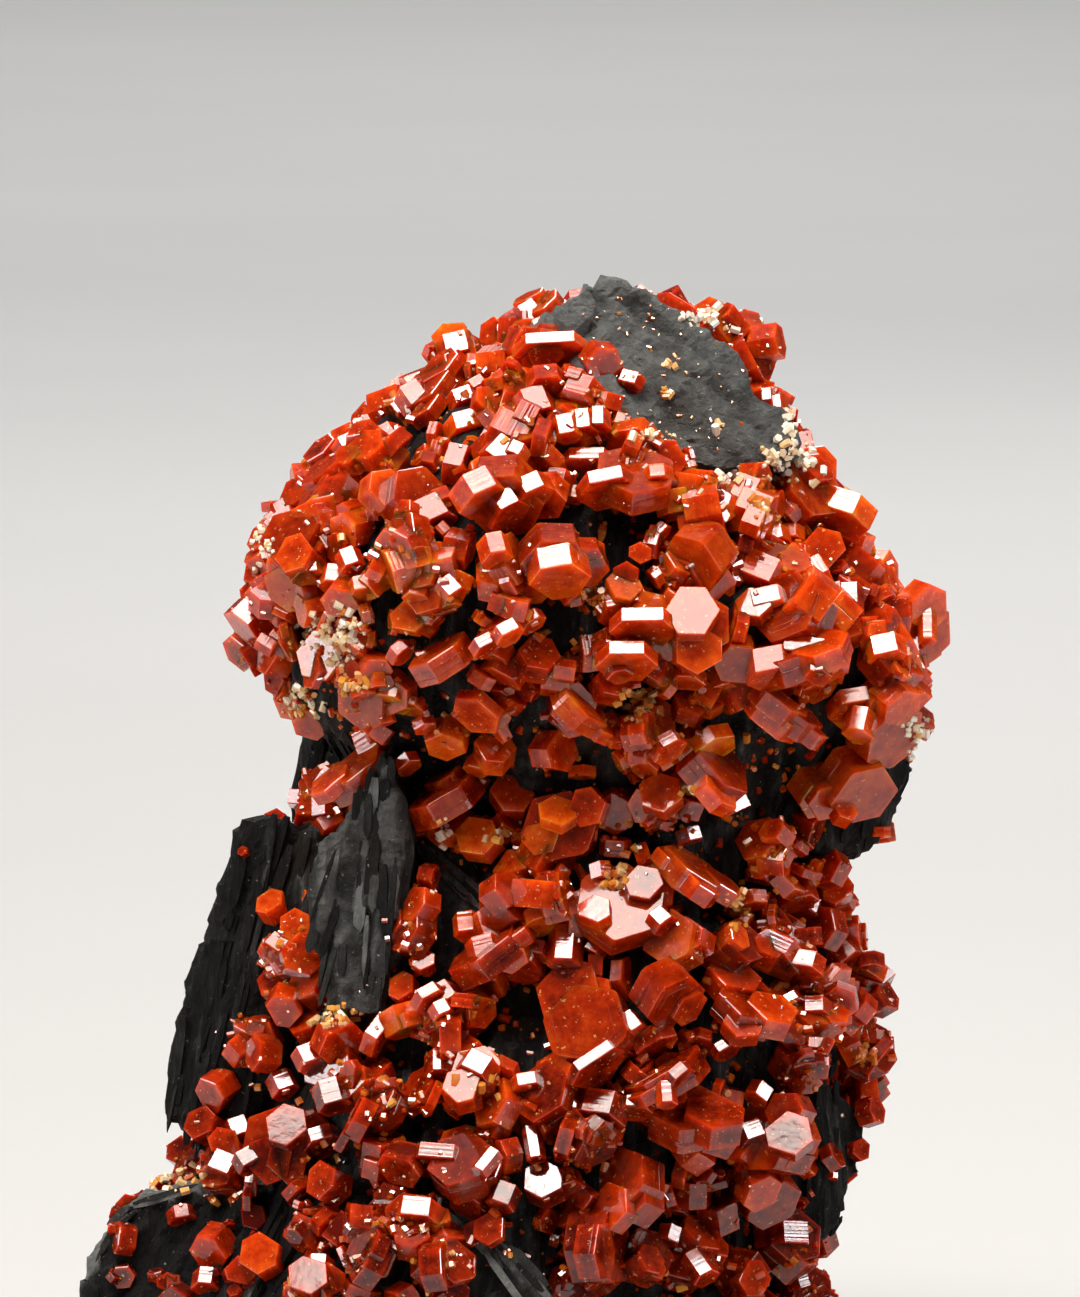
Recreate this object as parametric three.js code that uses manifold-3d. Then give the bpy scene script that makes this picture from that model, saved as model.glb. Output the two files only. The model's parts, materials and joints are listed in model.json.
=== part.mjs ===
// Vanadinite on matrix: red-orange tabular hexagonal crystals on dark, bladed manganese rock.
// Units are millimetres. +Z is up, the front faces -Y, and the flat cut base rests on z = 0.
import * as THREE from "three";
import { mergeVertices } from "three/addons/utils/BufferGeometryUtils.js";
import Module from "manifold-3d";

// Overall size of the specimen.
const HEIGHT = 86.4;
const RADIAL_SEGMENTS = 18;
const LAYER = 7.5;

// The crust of small crystals: its thickness, and the clear gap kept between separate pieces.
const CRUST = 2.3;
const KNOB = 0.9;
const GAP = 0.3;
const FOOT_BARE = 3.2;
const NECK_LOW = 49.6;
const NECK_HIGH = 52.4;

// A crystal this wide or wider is a piece of its own, with any crystal that it overlaps.
// The others are grown into the crust. At least this share of each one is rooted.
const OWN_PIECE = 5.2;
const ROOTED = 0.14;
const OVERLAP = 0.05;

// Heights in the front rows below are seen along a sight line that looks down by this angle.
const SIGHT_TILT = 6;

// Colours, with roughness and metalness.
const ROCK = { color: "#26231f", roughness: 0.82, metalness: 0.08 };
const DRUSE = { color: "#8e2a10", roughness: 0.42, metalness: 0 };
const RED = { color: "#b5300f", roughness: 0.2, metalness: 0 };

// Sections of the rock core: height, centre x, centre y, half width, half depth.
const SECTIONS = [
  [0, -4.4, 1.0, 26.4, 19.5],
  [9, -5.0, 0.5, 25.4, 19.5],
  [18, -2.2, 0.5, 22.8, 18.5],
  [26, 2.0, 0.8, 23.8, 17.5],
  [34, 4.2, 1.0, 23.0, 16.5],
  [40, 3.8, 1.4, 20.8, 15.6],
  [44.5, 2.7, 1.7, 17.8, 15.0],
  [48.5, 6.6, 2.0, 19.4, 14.4],
  [53.2, 9.6, 2.6, 18.4, 12.8],
  [57.2, 6.6, 0.8, 23.6, 15.6],
  [63.5, 6.0, -1.0, 24.2, 18.6],
  [67.5, 3.6, -1.0, 22.8, 18.8],
  [71, 1.0, -1.0, 20.8, 18.4],
  [76.5, 3.4, 0.0, 17.4, 16.4],
  [80.5, 4.2, 0.8, 14.6, 13.4],
  [84, 6.8, 1.4, 9.4, 9.0],
  [86.4, 8.4, 2.0, 4.6, 4.6],
];

// Exposed blades and plates of rock. Each outline is x, height on the face as seen from the front.
// face: y of the outline's middle; yaw turns the face to the right, pitch tips it upwards.
const PLATES = {
  crown: {
    thick: 5,
    face: -8.5,
    yaw: 18,
    pitch: 26,
    outline: [
      [3.3, 89.2], [6.7, 91.6], [10.5, 90.6], [13.7, 88.6], [18.1, 85.8], [19.3, 81.8],
      [21.5, 79.4], [21.0, 76.6], [16.1, 75.4], [9.0, 76.4], [6.0, 80.5], [4.6, 85.5],
    ],
  },
  blade_left: {
    thick: 5,
    face: -13.8,
    yaw: -16,
    pitch: 2,
    outline: [
      [-10.7, 54.2], [-9.5, 49.8], [-9.4, 45.0], [-9.7, 40.0], [-10.7, 33.0],
      [-15.1, 32.6], [-16.0, 37.0], [-16.2, 41.8], [-15.5, 46.0], [-13.0, 50.6],
    ],
  },
  blade_outer: {
    thick: 4.5,
    face: -4.5,
    yaw: -24,
    pitch: 3,
    outline: [
      [-21.4, 47.6], [-16.0, 47.4], [-15.4, 40.0], [-17.6, 33.0], [-20.5, 26.0],
      [-24.0, 22.5], [-28.6, 24.6], [-28.2, 28.2], [-26.0, 35.0], [-23.6, 42.0],
    ],
  },
  foot_left: {
    thick: 11,
    face: -9.0,
    yaw: -20,
    pitch: 14,
    outline: [
      [-34.2, 14.6], [-32.4, 17.2], [-25.8, 18.9], [-17.0, 19.4], [-14.0, 12.0],
      [-14.0, -3.0], [-32.6, -3.0], [-34.0, 8.0],
    ],
  },
  shard_mid: {
    thick: 3,
    face: -17.2,
    yaw: -12,
    pitch: 20,
    outline: [[-7.6, 46.8], [-2.0, 41.2], [-3.2, 39.6], [-6.6, 41.4], [-9.0, 45.0]],
  },
  shard_low: {
    thick: 4,
    face: -19.4,
    yaw: -20,
    pitch: 24,
    outline: [[-5.4, 18.0], [-2.0, 15.6], [2.6, 10.0], [1.8, 7.4], [-2.8, 10.2], [-6.2, 15.4]],
  },
  ledge_right: {
    thick: 7,
    face: -6.0,
    yaw: 26,
    pitch: 6,
    outline: [[18.0, 27.4], [25.5, 27.0], [28.8, 24.6], [27.4, 20.0], [24.6, 16.0], [18.0, 16.0]],
  },
  cheek_right: {
    thick: 6,
    face: -6.0,
    yaw: 24,
    pitch: -14,
    outline: [[21.0, 52.6], [29.4, 54.4], [31.6, 52.0], [29.8, 48.0], [26.6, 45.2], [20.0, 45.8]],
  },
  rear_blade: {
    thick: 5,
    face: 17.5,
    yaw: 166,
    pitch: 6,
    outline: [
      [-13.0, 61.0], [-4.0, 64.0], [4.5, 60.0], [7.0, 49.0], [5.0, 34.0],
      [-2.0, 22.0], [-11.0, 24.0], [-15.0, 38.0], [-16.0, 52.0],
    ],
  },
  rear_slab: {
    thick: 5,
    face: 18.6,
    yaw: 196,
    pitch: -4,
    outline: [
      [4.0, 40.0], [12.0, 43.0], [18.0, 36.0], [20.5, 24.0], [18.0, 10.0],
      [8.0, 5.0], [2.0, 16.0], [1.0, 30.0],
    ],
  },
};

// Crystals by region. Each row: x, height, diameter, thickness, yaw, pitch, spin, and optional proud.
// yaw 0 and pitch 0 turn the hexagonal face to the front. yaw 90 turns it to the right, and
// pitch 90 turns it up. proud moves the crystal out from the surface it grew on.
const FRONT = {
  crown: [
    [-4.9, 85.2, 4.2, 2.6, -30, 38, 20],
    [1.5, 87.6, 4.4, 1.7, -70, 50, 12],
    [2.8, 84.8, 5.6, 2.4, 6, -32, 0],
    [7.9, 82.6, 4.0, 2.4, 30, 40, 8],
    [3.1, 82.4, 4.2, 1.7, 8, 74, 15],
    [-6.9, 82.0, 5.2, 2.2, -62, 46, 22],
    [-0.5, 80.8, 4.4, 2.4, -38, 34, 18],
    [5.0, 79.6, 4.8, 1.9, 2, 64, 3],
    [0.4, 77.4, 4.8, 2.4, 30, -30, 9],
    [-1.1, 73.8, 6.6, 2.7, -8, -34, 2, 1.4],
    [9.0, 75.0, 6.6, 2.2, 10, 58, 6],
    [-10.8, 76.2, 4.6, 2.6, -28, -32, 4],
  ],
  cheek_left: [
    [-17.4, 70.2, 5.4, 2.8, -34, 34, 21],
    [-17.8, 67.0, 4.2, 2.4, -40, -22, 1],
    [-20.6, 62.8, 4.8, 2.6, -52, -24, 11],
    [-8.3, 73.4, 5.4, 2.8, 32, 28, 14],
    [-8.4, 69.2, 4.8, 2.6, -44, -20, 23],
    [-6.5, 66.2, 4.0, 2.2, -40, 12, 19],
    [-5.9, 61.0, 5.4, 2.0, -74, 58, 8],
    [-11.8, 57.8, 4.6, 2.2, -30, -14, 2],
  ],
  face: [
    [-0.9, 68.6, 4.6, 1.7, 66, 18, 10, 1.6],
    [2.6, 69.0, 5.8, 2.4, 8, -34, 1, 1.8],
    [10.0, 64.2, 4.2, 2.4, 4, -38, 0, 1.5],
    [8.8, 61.6, 4.2, 2.2, 2, -38, 3, 1.2],
    [14.0, 63.6, 5.4, 3.0, 10, 10, 29, 1.8],
    [-1.2, 63.5, 4.6, 1.5, -78, 50, 9],
    [4.6, 57.2, 5.2, 1.7, 74, 44, 5],
    [10.1, 55.4, 4.2, 2.4, 40, 30, 21],
  ],
  brow: [
    [19.4, 85.4, 4.0, 2.6, 30, 4, 19, -1.0],
    [13.4, 73.6, 5.0, 2.1, -30, 62, 2],
    [17.2, 73.2, 4.0, 2.0, 14, 54, 17],
    [22.6, 74.0, 5.6, 3.0, 44, 28, 28],
    [24.6, 73.4, 4.2, 2.4, 62, 24, 8],
    [14.2, 69.2, 5.6, 2.8, -36, -28, 3],
    [19.5, 68.2, 4.4, 2.6, 12, 56, 26],
    [21.6, 64.6, 6.2, 3.4, -34, 26, 9, 1.6],
    [31.8, 63.4, 5.2, 2.8, 34, -6, 27],
    [28.8, 61.0, 4.0, 2.4, 42, 32, 12],
    [17.0, 61.2, 4.0, 2.2, 6, -30, 1],
    [21.4, 61.2, 6.4, 2.2, -40, 66, 23, 1.4],
    [28.8, 55.6, 6.0, 3.2, 40, -26, 18],
    [21.0, 56.8, 6.4, 1.9, 80, 52, 10],
    [26.6, 51.2, 6.2, 3.4, 30, -32, 15, 1.8],
  ],
  neck: [
    [-12.6, 51.8, 5.6, 2.2, -66, 54, 12, 2.0],
    [-15.2, 50.2, 4.8, 2.0, -44, 24, 25, 1.2],
    [-18.8, 49.0, 4.4, 2.4, -46, -22, 16, 1.2],
    [-5.8, 49.8, 6.6, 2.0, -80, 60, 6],
    [15.2, 52.2, 6.4, 2.6, 66, 40, 9, 1.6],
    [11.4, 50.0, 4.0, 2.0, 10, 6, 20],
    [3.4, 47.8, 6.2, 2.8, -10, 10, 13],
    [19.4, 46.4, 4.2, 2.4, -40, 34, 7],
    [13.5, 44.0, 6.0, 2.0, 76, 54, 18],
    [24.6, 42.6, 4.0, 2.4, 46, 14, 5],
  ],
  trunk: [
    [7.9, 41.4, 7.4, 2.4, 8, 38, 11, 2.2],
    [3.0, 42.2, 4.6, 2.0, 74, 16, 3, 1.8],
    [-0.8, 42.0, 4.6, 2.4, 46, 30, 26],
    [-2.2, 37.8, 7.0, 2.0, -78, 54, 8, 1.8],
    [-8.4, 39.6, 4.8, 2.0, -60, 24, 15],
    [12.4, 38.8, 4.8, 2.6, -32, 26, 22],
    [11.6, 34.9, 5.4, 2.8, 40, -32, 10],
    [17.0, 38.2, 4.4, 2.6, 52, 36, 29],
    [21.0, 38.0, 5.0, 2.4, 30, 44, 4],
    [18.0, 33.6, 6.0, 2.2, 40, 56, 16],
    [23.0, 33.0, 5.0, 2.4, 30, 50, 25],
    [27.3, 35.4, 5.4, 2.6, 50, 62, 6],
    [5.7, 32.0, 7.2, 3.0, -18, 26, 14, 2.0],
    [-5.1, 32.6, 4.6, 2.6, 36, -24, 21],
    [-3.2, 28.4, 4.2, 2.6, -6, 34, 27],
    [27.8, 29.6, 4.8, 2.6, 48, 24, 9],
    [21.8, 29.4, 4.2, 2.6, 30, 48, 18],
    [11.8, 28.2, 7.0, 2.2, -82, 60, 5],
    [2.3, 26.5, 5.4, 2.8, -38, 30, 24],
    [13.2, 25.0, 6.6, 2.4, 10, 62, 1],
    [5.6, 23.6, 4.8, 2.6, 40, -34, 17],
    [20.4, 23.3, 6.4, 3.6, -44, 14, 11, 2.0],
    [-10.6, 25.8, 4.0, 2.2, -50, 40, 28],
    [-4.3, 21.2, 5.4, 2.8, -20, 44, 7],
    [8.9, 20.0, 5.2, 2.8, -44, 22, 13],
    [19.6, 18.6, 5.2, 2.8, 30, -30, 26],
  ],
  base: [
    [6.2, 14.9, 7.0, 3.3, 70, 6, 15, 1.8],
    [9.8, 14.0, 4.4, 2.6, 46, 30, 6],
    [13.1, 13.4, 4.8, 2.2, 4, 42, 22],
    [21.4, 14.6, 5.0, 3.0, 30, 30, 10],
    [17.6, 12.2, 4.2, 2.6, -30, -26, 1],
    [22.6, 10.4, 4.4, 2.6, 38, 12, 19],
    [-8.2, 17.0, 4.2, 2.4, -24, 38, 24],
    [-5.6, 13.4, 4.4, 2.6, 34, 36, 5],
    [-11.4, 14.6, 4.6, 2.2, -6, 2, 14],
    [5.0, 8.0, 5.4, 2.6, 8, 20, 27],
    [13.0, 7.4, 4.8, 2.6, -30, -34, 8],
    [-9.4, 8.6, 5.0, 2.4, -12, 24, 17],
    [19.0, 6.6, 4.6, 2.6, 32, 10, 2],
  ],
  foot: [
    [-17.8, 37.4, 4.0, 2.2, -28, 26, 12, 1.2],
    [-17.8, 34.6, 4.0, 2.2, -36, 34, 4, 1.2],
    [-14.6, 29.0, 5.0, 2.4, -30, 20, 25],
    [-20.6, 30.2, 4.0, 2.2, -30, 10, 9, 1.0],
    [-24.4, 24.0, 4.0, 2.4, -40, 26, 0, 1.0],
    [-18.8, 22.9, 6.2, 2.8, -18, 6, 28, 1.6],
    [-23.2, 20.4, 4.6, 2.4, -36, 34, 7, 1.0],
    [-24.2, 14.0, 4.6, 2.4, -30, 12, 23, 0.6],
    [-20.2, 13.2, 4.2, 2.2, -22, 28, 3, 0.6],
    [-16.2, 11.4, 4.0, 2.2, -16, 34, 13, 0.6],
  ],
};

// The same rows for the back: x and height as placed on the rear of the rock, facing +Y.
const REAR = {
  rear: [
    [6.0, 85.0, 4.6, 2.4, 170, 30, 6],
    [-3.0, 82.0, 4.2, 2.2, 200, 24, 18],
    [12.0, 80.0, 5.0, 2.6, 150, 16, 27],
    [4.0, 76.0, 5.6, 2.6, 186, 10, 2],
    [-9.0, 74.0, 4.8, 2.4, 214, 14, 12],
    [19.0, 73.0, 4.6, 2.4, 140, 20, 22],
    [10.0, 70.0, 6.0, 2.6, 170, 34, 9],
    [-2.0, 69.0, 4.4, 2.4, 190, -14, 15],
    [-14.0, 66.0, 5.0, 2.4, 222, 6, 25],
    [23.0, 65.0, 5.2, 2.6, 132, 8, 4],
    [15.0, 62.0, 5.0, 2.2, 158, 44, 19],
    [17.0, 52.0, 5.0, 2.4, 150, 10, 1],
    [13.0, 47.0, 4.4, 2.2, 164, 26, 13],
    [-16.0, 44.0, 4.6, 2.4, 226, 18, 29],
    [-18.0, 33.0, 5.0, 2.4, 222, 10, 8],
    [-17.0, 24.0, 4.4, 2.4, 216, 32, 16],
    [-20.0, 14.0, 5.4, 2.6, 214, 12, 24],
    [-9.0, 13.0, 4.8, 2.4, 190, 20, 5],
  ],
};

const wasm = await Module();
wasm.setup();

const radians = THREE.MathUtils.degToRad;
const group = new THREE.Group();
const specimen = new THREE.Group();
group.name = "vanadinite_on_matrix";
group.add(specimen);

// A closed three.js geometry as a manifold solid.
function solid(geometry) {
  const bare = geometry.clone();
  bare.deleteAttribute("normal");
  bare.deleteAttribute("uv");
  const merged = mergeVertices(bare, 1e-4);
  return new wasm.Manifold(
    new wasm.Mesh({
      numProp: 3,
      vertProperties: new Float32Array(merged.attributes.position.array),
      triVerts: new Uint32Array(merged.index.array),
    }),
  );
}

// A manifold solid as a three.js geometry.
function geometryOf(body) {
  const mesh = body.getMesh();
  const count = mesh.numVert;
  const points = new Float32Array(count * 3);
  for (let i = 0; i < count; i += 1) {
    const at = i * mesh.numProp;
    points.set(mesh.vertProperties.subarray(at, at + 3), i * 3);
  }
  const geometry = new THREE.BufferGeometry();
  geometry.setAttribute("position", new THREE.BufferAttribute(points, 3));
  geometry.setIndex(new THREE.BufferAttribute(new Uint32Array(mesh.triVerts), 1));
  const flat = geometry.toNonIndexed();
  flat.computeVertexNormals();
  return flat;
}

function addNode(name, body, look) {
  const material = new THREE.MeshStandardMaterial(look);
  material.name = name;
  const mesh = new THREE.Mesh(geometryOf(body), material);
  mesh.name = name;
  specimen.add(mesh);
}

function largestBody(body) {
  const pieces = body.decompose();
  pieces.sort((a, b) => b.volume() - a.volume());
  return pieces[0];
}

// The rock section at a height, blended between the rows of SECTIONS.
function sectionAt(z) {
  const last = SECTIONS.length - 1;
  let i = 0;
  while (i < last - 1 && z > SECTIONS[i + 1][0]) {
    i += 1;
  }
  const low = SECTIONS[i];
  const high = SECTIONS[i + 1];
  const t = THREE.MathUtils.clamp((z - low[0]) / (high[0] - low[0]), 0, 1);
  return low.map((value, k) => THREE.MathUtils.lerp(value, high[k], t));
}

// Uneven growth of the rock: broad lumps plus steps that run along the blades.
function lump(angle, z) {
  const broad = 0.05 * Math.sin(3 * angle + 0.11 * z + 0.7);
  const cross = 0.05 * Math.sin(5 * angle - 0.17 * z + 2.1);
  const steps = 0.035 * Math.sin(7 * angle + 0.23 * z) * Math.cos(0.4 * z);
  return broad + cross + steps;
}

// The crust's own unevenness, in millimetres.
function knobs(angle, z) {
  return KNOB * Math.sin(11 * angle + 1.3 * z) * Math.sin(4 * angle - 0.9 * z + 1);
}

// The rock core, grown outwards by a distance. Low and high limit its height.
function core(grow, low, high) {
  const layers = Math.round((high - low) / LAYER);
  const cap = high < HEIGHT ? 0 : grow;
  const geometry = new THREE.CylinderGeometry(1, 1, 1, RADIAL_SEGMENTS, layers);
  const p = geometry.attributes.position;
  for (let i = 0; i < p.count; i += 1) {
    const share = p.getY(i) + 0.5;
    const angle = Math.atan2(p.getZ(i), p.getX(i));
    const reach = Math.hypot(p.getX(i), p.getZ(i));
    const z = THREE.MathUtils.lerp(low, high, share);
    const row = sectionAt(z);
    const factor = 1 + lump(angle, z);
    const out = grow < CRUST ? grow : grow + knobs(angle, z);
    const x = row[1] + reach * Math.cos(angle) * (row[3] * factor + out);
    const y = row[2] - reach * Math.sin(angle) * (row[4] * factor + out);
    p.setXYZ(i, x, y, share === 1 ? z + cap : z);
  }
  return geometry;
}

// The z of a front row's sight line where it passes a given y.
function sightHeight(height, y) {
  const tilt = radians(SIGHT_TILT);
  return (height - y * Math.sin(tilt)) / Math.cos(tilt);
}

// A closed outline with every side moved outwards by a distance.
function widened(corners, distance) {
  const sign = THREE.ShapeUtils.isClockWise(corners) ? -1 : 1;
  return corners.map((corner, i) => {
    const before = corners[(i + corners.length - 1) % corners.length];
    const after = corners[(i + 1) % corners.length];
    const a = new THREE.Vector2(corner.y - before.y, before.x - corner.x).normalize();
    const b = new THREE.Vector2(after.y - corner.y, corner.x - after.x).normalize();
    const middle = a.clone().add(b).normalize();
    return corner.clone().addScaledVector(middle, (sign * distance) / middle.dot(a));
  });
}

// A plate's outline pushed to a thickness, with extra material in front of its face and around it.
function plate(row, front, around, back) {
  const middle = new THREE.Vector2();
  row.outline.forEach(([x, h]) => middle.add(new THREE.Vector2(x, h)));
  middle.divideScalar(row.outline.length);
  const corners = row.outline.map(([x, h]) => new THREE.Vector2(x, h).sub(middle));
  const shape = new THREE.Shape(widened(corners, around));
  const depth = row.thick + front + back;
  const geometry = new THREE.ExtrudeGeometry(shape, { depth, bevelEnabled: false });
  geometry.translate(0, 0, -row.thick - back);
  geometry.rotateX(Math.PI / 2);
  const turned = row.yaw > 90;
  if (turned) {
    geometry.rotateZ(Math.PI);
  }
  geometry.rotateX(radians(turned ? row.pitch : -row.pitch));
  geometry.rotateZ(radians(turned ? row.yaw - 180 : row.yaw));
  const z = turned ? middle.y : sightHeight(middle.y, row.face);
  geometry.translate(middle.x, row.face, z);
  return geometry;
}

const plateRows = Object.values(PLATES);
const plates = plateRows.map((row) => solid(plate(row, 0, 0, 0)));
const grownPlates = plateRows.map((row) => solid(plate(row, GAP, GAP, GAP)));
const windows = plateRows.map((row) => solid(plate(row, 9, GAP, GAP)));
const innerWindows = plateRows.map((row) => solid(plate(row, 9, 0, GAP)));

// Everything below the cut is removed, so the specimen rests on a flat sawn face.
const below = new THREE.BoxGeometry(140, 140, 40);
below.translate(0, 0, -20);
const saw = solid(below);

let rock = solid(core(0, 0, HEIGHT));
plates.forEach((body) => {
  rock = rock.add(body);
});
rock = largestBody(rock.subtract(saw));
addNode("matrix", rock, ROCK);

// Solid that keeps other pieces a gap away from the rock.
let rockGap = solid(core(GAP, 0, HEIGHT));
grownPlates.forEach((body) => {
  rockGap = rockGap.add(body);
});

// The crust of small crystals over part of the rock, from one height to another.
function crust(low, high) {
  let shell = solid(core(CRUST, low, high)).subtract(rockGap);
  windows.forEach((body) => {
    shell = shell.subtract(body);
  });
  return largestBody(shell);
}

// The space that a crust and its gap take up.
function crustGap(low, high) {
  let body = solid(core(CRUST + GAP, low - GAP, Math.min(high + GAP, HEIGHT)));
  innerWindows.forEach((hole) => {
    body = body.subtract(hole);
  });
  return body;
}

const head = crust(NECK_HIGH, HEIGHT);
const trunk = crust(FOOT_BARE, NECK_LOW);
const crustGaps = [crustGap(NECK_HIGH, HEIGHT), crustGap(FOOT_BARE, NECK_LOW)];

// The outer surface that crystals grow on: the crust, and the rock's plates.
const skins = [new THREE.Mesh(core(CRUST, 0, HEIGHT))];
plateRows.forEach((row) => skins.push(new THREE.Mesh(plate(row, 0, 0, 0))));
skins.forEach((mesh) => {
  mesh.material.side = THREE.DoubleSide;
  mesh.updateMatrixWorld(true);
});
let skin = solid(core(CRUST, 0, HEIGHT));
plates.forEach((body) => {
  skin = skin.add(body);
});

// The way a sight line runs, and the point where it meets the outer surface.
function seat(x, height, rear) {
  const tilt = rear ? 0 : radians(SIGHT_TILT);
  const way = new THREE.Vector3(0, rear ? -1 : Math.cos(tilt), -Math.sin(tilt));
  const y = rear ? 80 : -80;
  const from = new THREE.Vector3(x, y, rear ? height : sightHeight(height, y));
  const hits = new THREE.Raycaster(from, way).intersectObjects(skins);
  if (hits.length) {
    return { point: hits[0].point, way };
  }
  const row = sectionAt(height);
  const z = rear ? height : sightHeight(height, row[2]);
  const inward = new THREE.Vector3(x > row[1] ? -1 : 1, 0, 0);
  return { point: new THREE.Vector3(x, row[2], z), way: inward, beside: true };
}

// One crystal: a short hexagonal prism about the origin, larger all round by a distance.
function prism(row, grow) {
  const [, , diameter, thickness, yaw, pitch, spin] = row;
  const radius = diameter / 2 + (grow * 2) / Math.sqrt(3);
  const geometry = new THREE.CylinderGeometry(radius, radius, thickness + 2 * grow, 6);
  const up = new THREE.Vector3(0, 1, 0);
  geometry.rotateY(radians(spin));
  geometry.applyQuaternion(new THREE.Quaternion().setFromUnitVectors(up, axisOf(yaw, pitch)));
  return geometry;
}

function axisOf(yaw, pitch) {
  return new THREE.Vector3(
    Math.sin(radians(yaw)) * Math.cos(radians(pitch)),
    -Math.cos(radians(yaw)) * Math.cos(radians(pitch)),
    Math.sin(radians(pitch)),
  );
}

// The crystal's centre: out from the surface, then back in until enough of it is rooted.
function placeOf(row, rear) {
  const at = seat(row[0], row[1], rear);
  const facing = Math.abs(axisOf(row[4], row[5]).dot(at.way));
  const usual = THREE.MathUtils.lerp(0.2 * row[2], row[3] / 2 + 0.2, facing);
  const body = solid(prism(row, 0));
  const whole = body.volume();
  let out = at.beside ? 0 : usual + (row[7] ?? 0);
  for (let tries = 0; tries < 24; tries += 1) {
    const place = at.point.clone().addScaledVector(at.way, -out);
    const rooted = body.translate([place.x, place.y, place.z]).intersect(skin).volume();
    if (rooted > ROOTED * whole) {
      return place;
    }
    out -= 0.25;
  }
  throw new Error("a crystal at " + row[0] + ", " + row[1] + " doesn't reach the rock");
}

const crystals = [];
Object.entries({ ...FRONT, ...REAR }).forEach(([region, rows]) => {
  rows.forEach((row) => {
    const place = placeOf(row, region in REAR);
    const move = [place.x, place.y, place.z];
    crystals.push({
      region,
      z: place.z,
      own: row[2] >= OWN_PIECE,
      body: solid(prism(row, 0)).translate(move),
      gap: solid(prism(row, GAP)).translate(move),
    });
  });
});

// Crystals that overlap belong to one cluster.
const clusterOf = crystals.map((_, i) => i);
function leader(i) {
  return clusterOf[i] === i ? i : leader(clusterOf[i]);
}
crystals.forEach((a, i) => {
  crystals.slice(0, i).forEach((b, j) => {
    const shared = a.body.intersect(b.body).volume();
    if (shared > OVERLAP && (a.own || b.own || leader(i) === leader(j))) {
      clusterOf[leader(i)] = leader(j);
    }
  });
});
const clusters = new Map();
crystals.forEach((one, i) => {
  const key = leader(i);
  clusters.set(key, [...(clusters.get(key) ?? []), one]);
});
const pieces = [...clusters.values()].filter((list) => list.some((one) => one.own));
const loose = [...clusters.values()].filter((list) => !list.some((one) => one.own)).flat();

// Each large crystal or cluster is one piece, clear of the rock, the crust and its neighbours.
const numbers = {};
const taken = [];
pieces.forEach((list) => {
  let body = list[0].body;
  list.slice(1).forEach((one) => {
    body = body.add(one.body);
  });
  [rockGap, saw, ...crustGaps, ...taken].forEach((other) => {
    if (body.intersect(other).volume() > 0) {
      body = body.subtract(other);
    }
  });
  list.forEach((one) => taken.push(one.gap));
  const region = list.find((one) => one.own).region;
  numbers[region] = (numbers[region] ?? 0) + 1;
  addNode("crystals_" + region + "_" + numbers[region], largestBody(body), RED);
});

// The small crystals are grown into the crust that they stand on.
function grownCrust(body, smalls, others) {
  let whole = body;
  smalls.forEach((one) => {
    let small = one.body;
    [rockGap, saw, ...taken, ...others].forEach((other) => {
      if (small.intersect(other).volume() > 0) {
        small = small.subtract(other);
      }
    });
    whole = whole.add(small);
  });
  return largestBody(whole);
}

const neck = (NECK_LOW + NECK_HIGH) / 2;
const upper = loose.filter((one) => one.z > neck);
const lower = loose.filter((one) => one.z <= neck);
const aboveNeck = [crustGaps[0], ...upper.map((one) => one.gap)];
addNode("druse_head", grownCrust(head, upper, [crustGaps[1]]), DRUSE);
addNode("druse_trunk", grownCrust(trunk, lower, aboveNeck), DRUSE);

// The origin is under the middle of the whole specimen, on the cut.
const middle = new THREE.Box3().setFromObject(specimen).getCenter(new THREE.Vector3());
specimen.position.set(-middle.x, -middle.y, 0);

export default group;
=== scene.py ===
# %% [markdown]
# # Vanadinite on matrix
# This lesson dresses a imported CAD model of a mineral specimen: red-orange hexagonal crystals on dark
# bladed rock. The CAD model fixes the size and the place of the rock and of every large crystal. Here
# each large crystal gets fine faces, the crust gets its small crystals, and the rock gets its
# bark-like surface.
#
# Its box is kept, for aiming the camera. Everything is in metres, with
# +Z up and the front facing -Y.

import json
import math

import bmesh
import bpy
import numpy as np
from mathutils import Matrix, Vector
from mathutils.bvhtree import BVHTree

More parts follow.
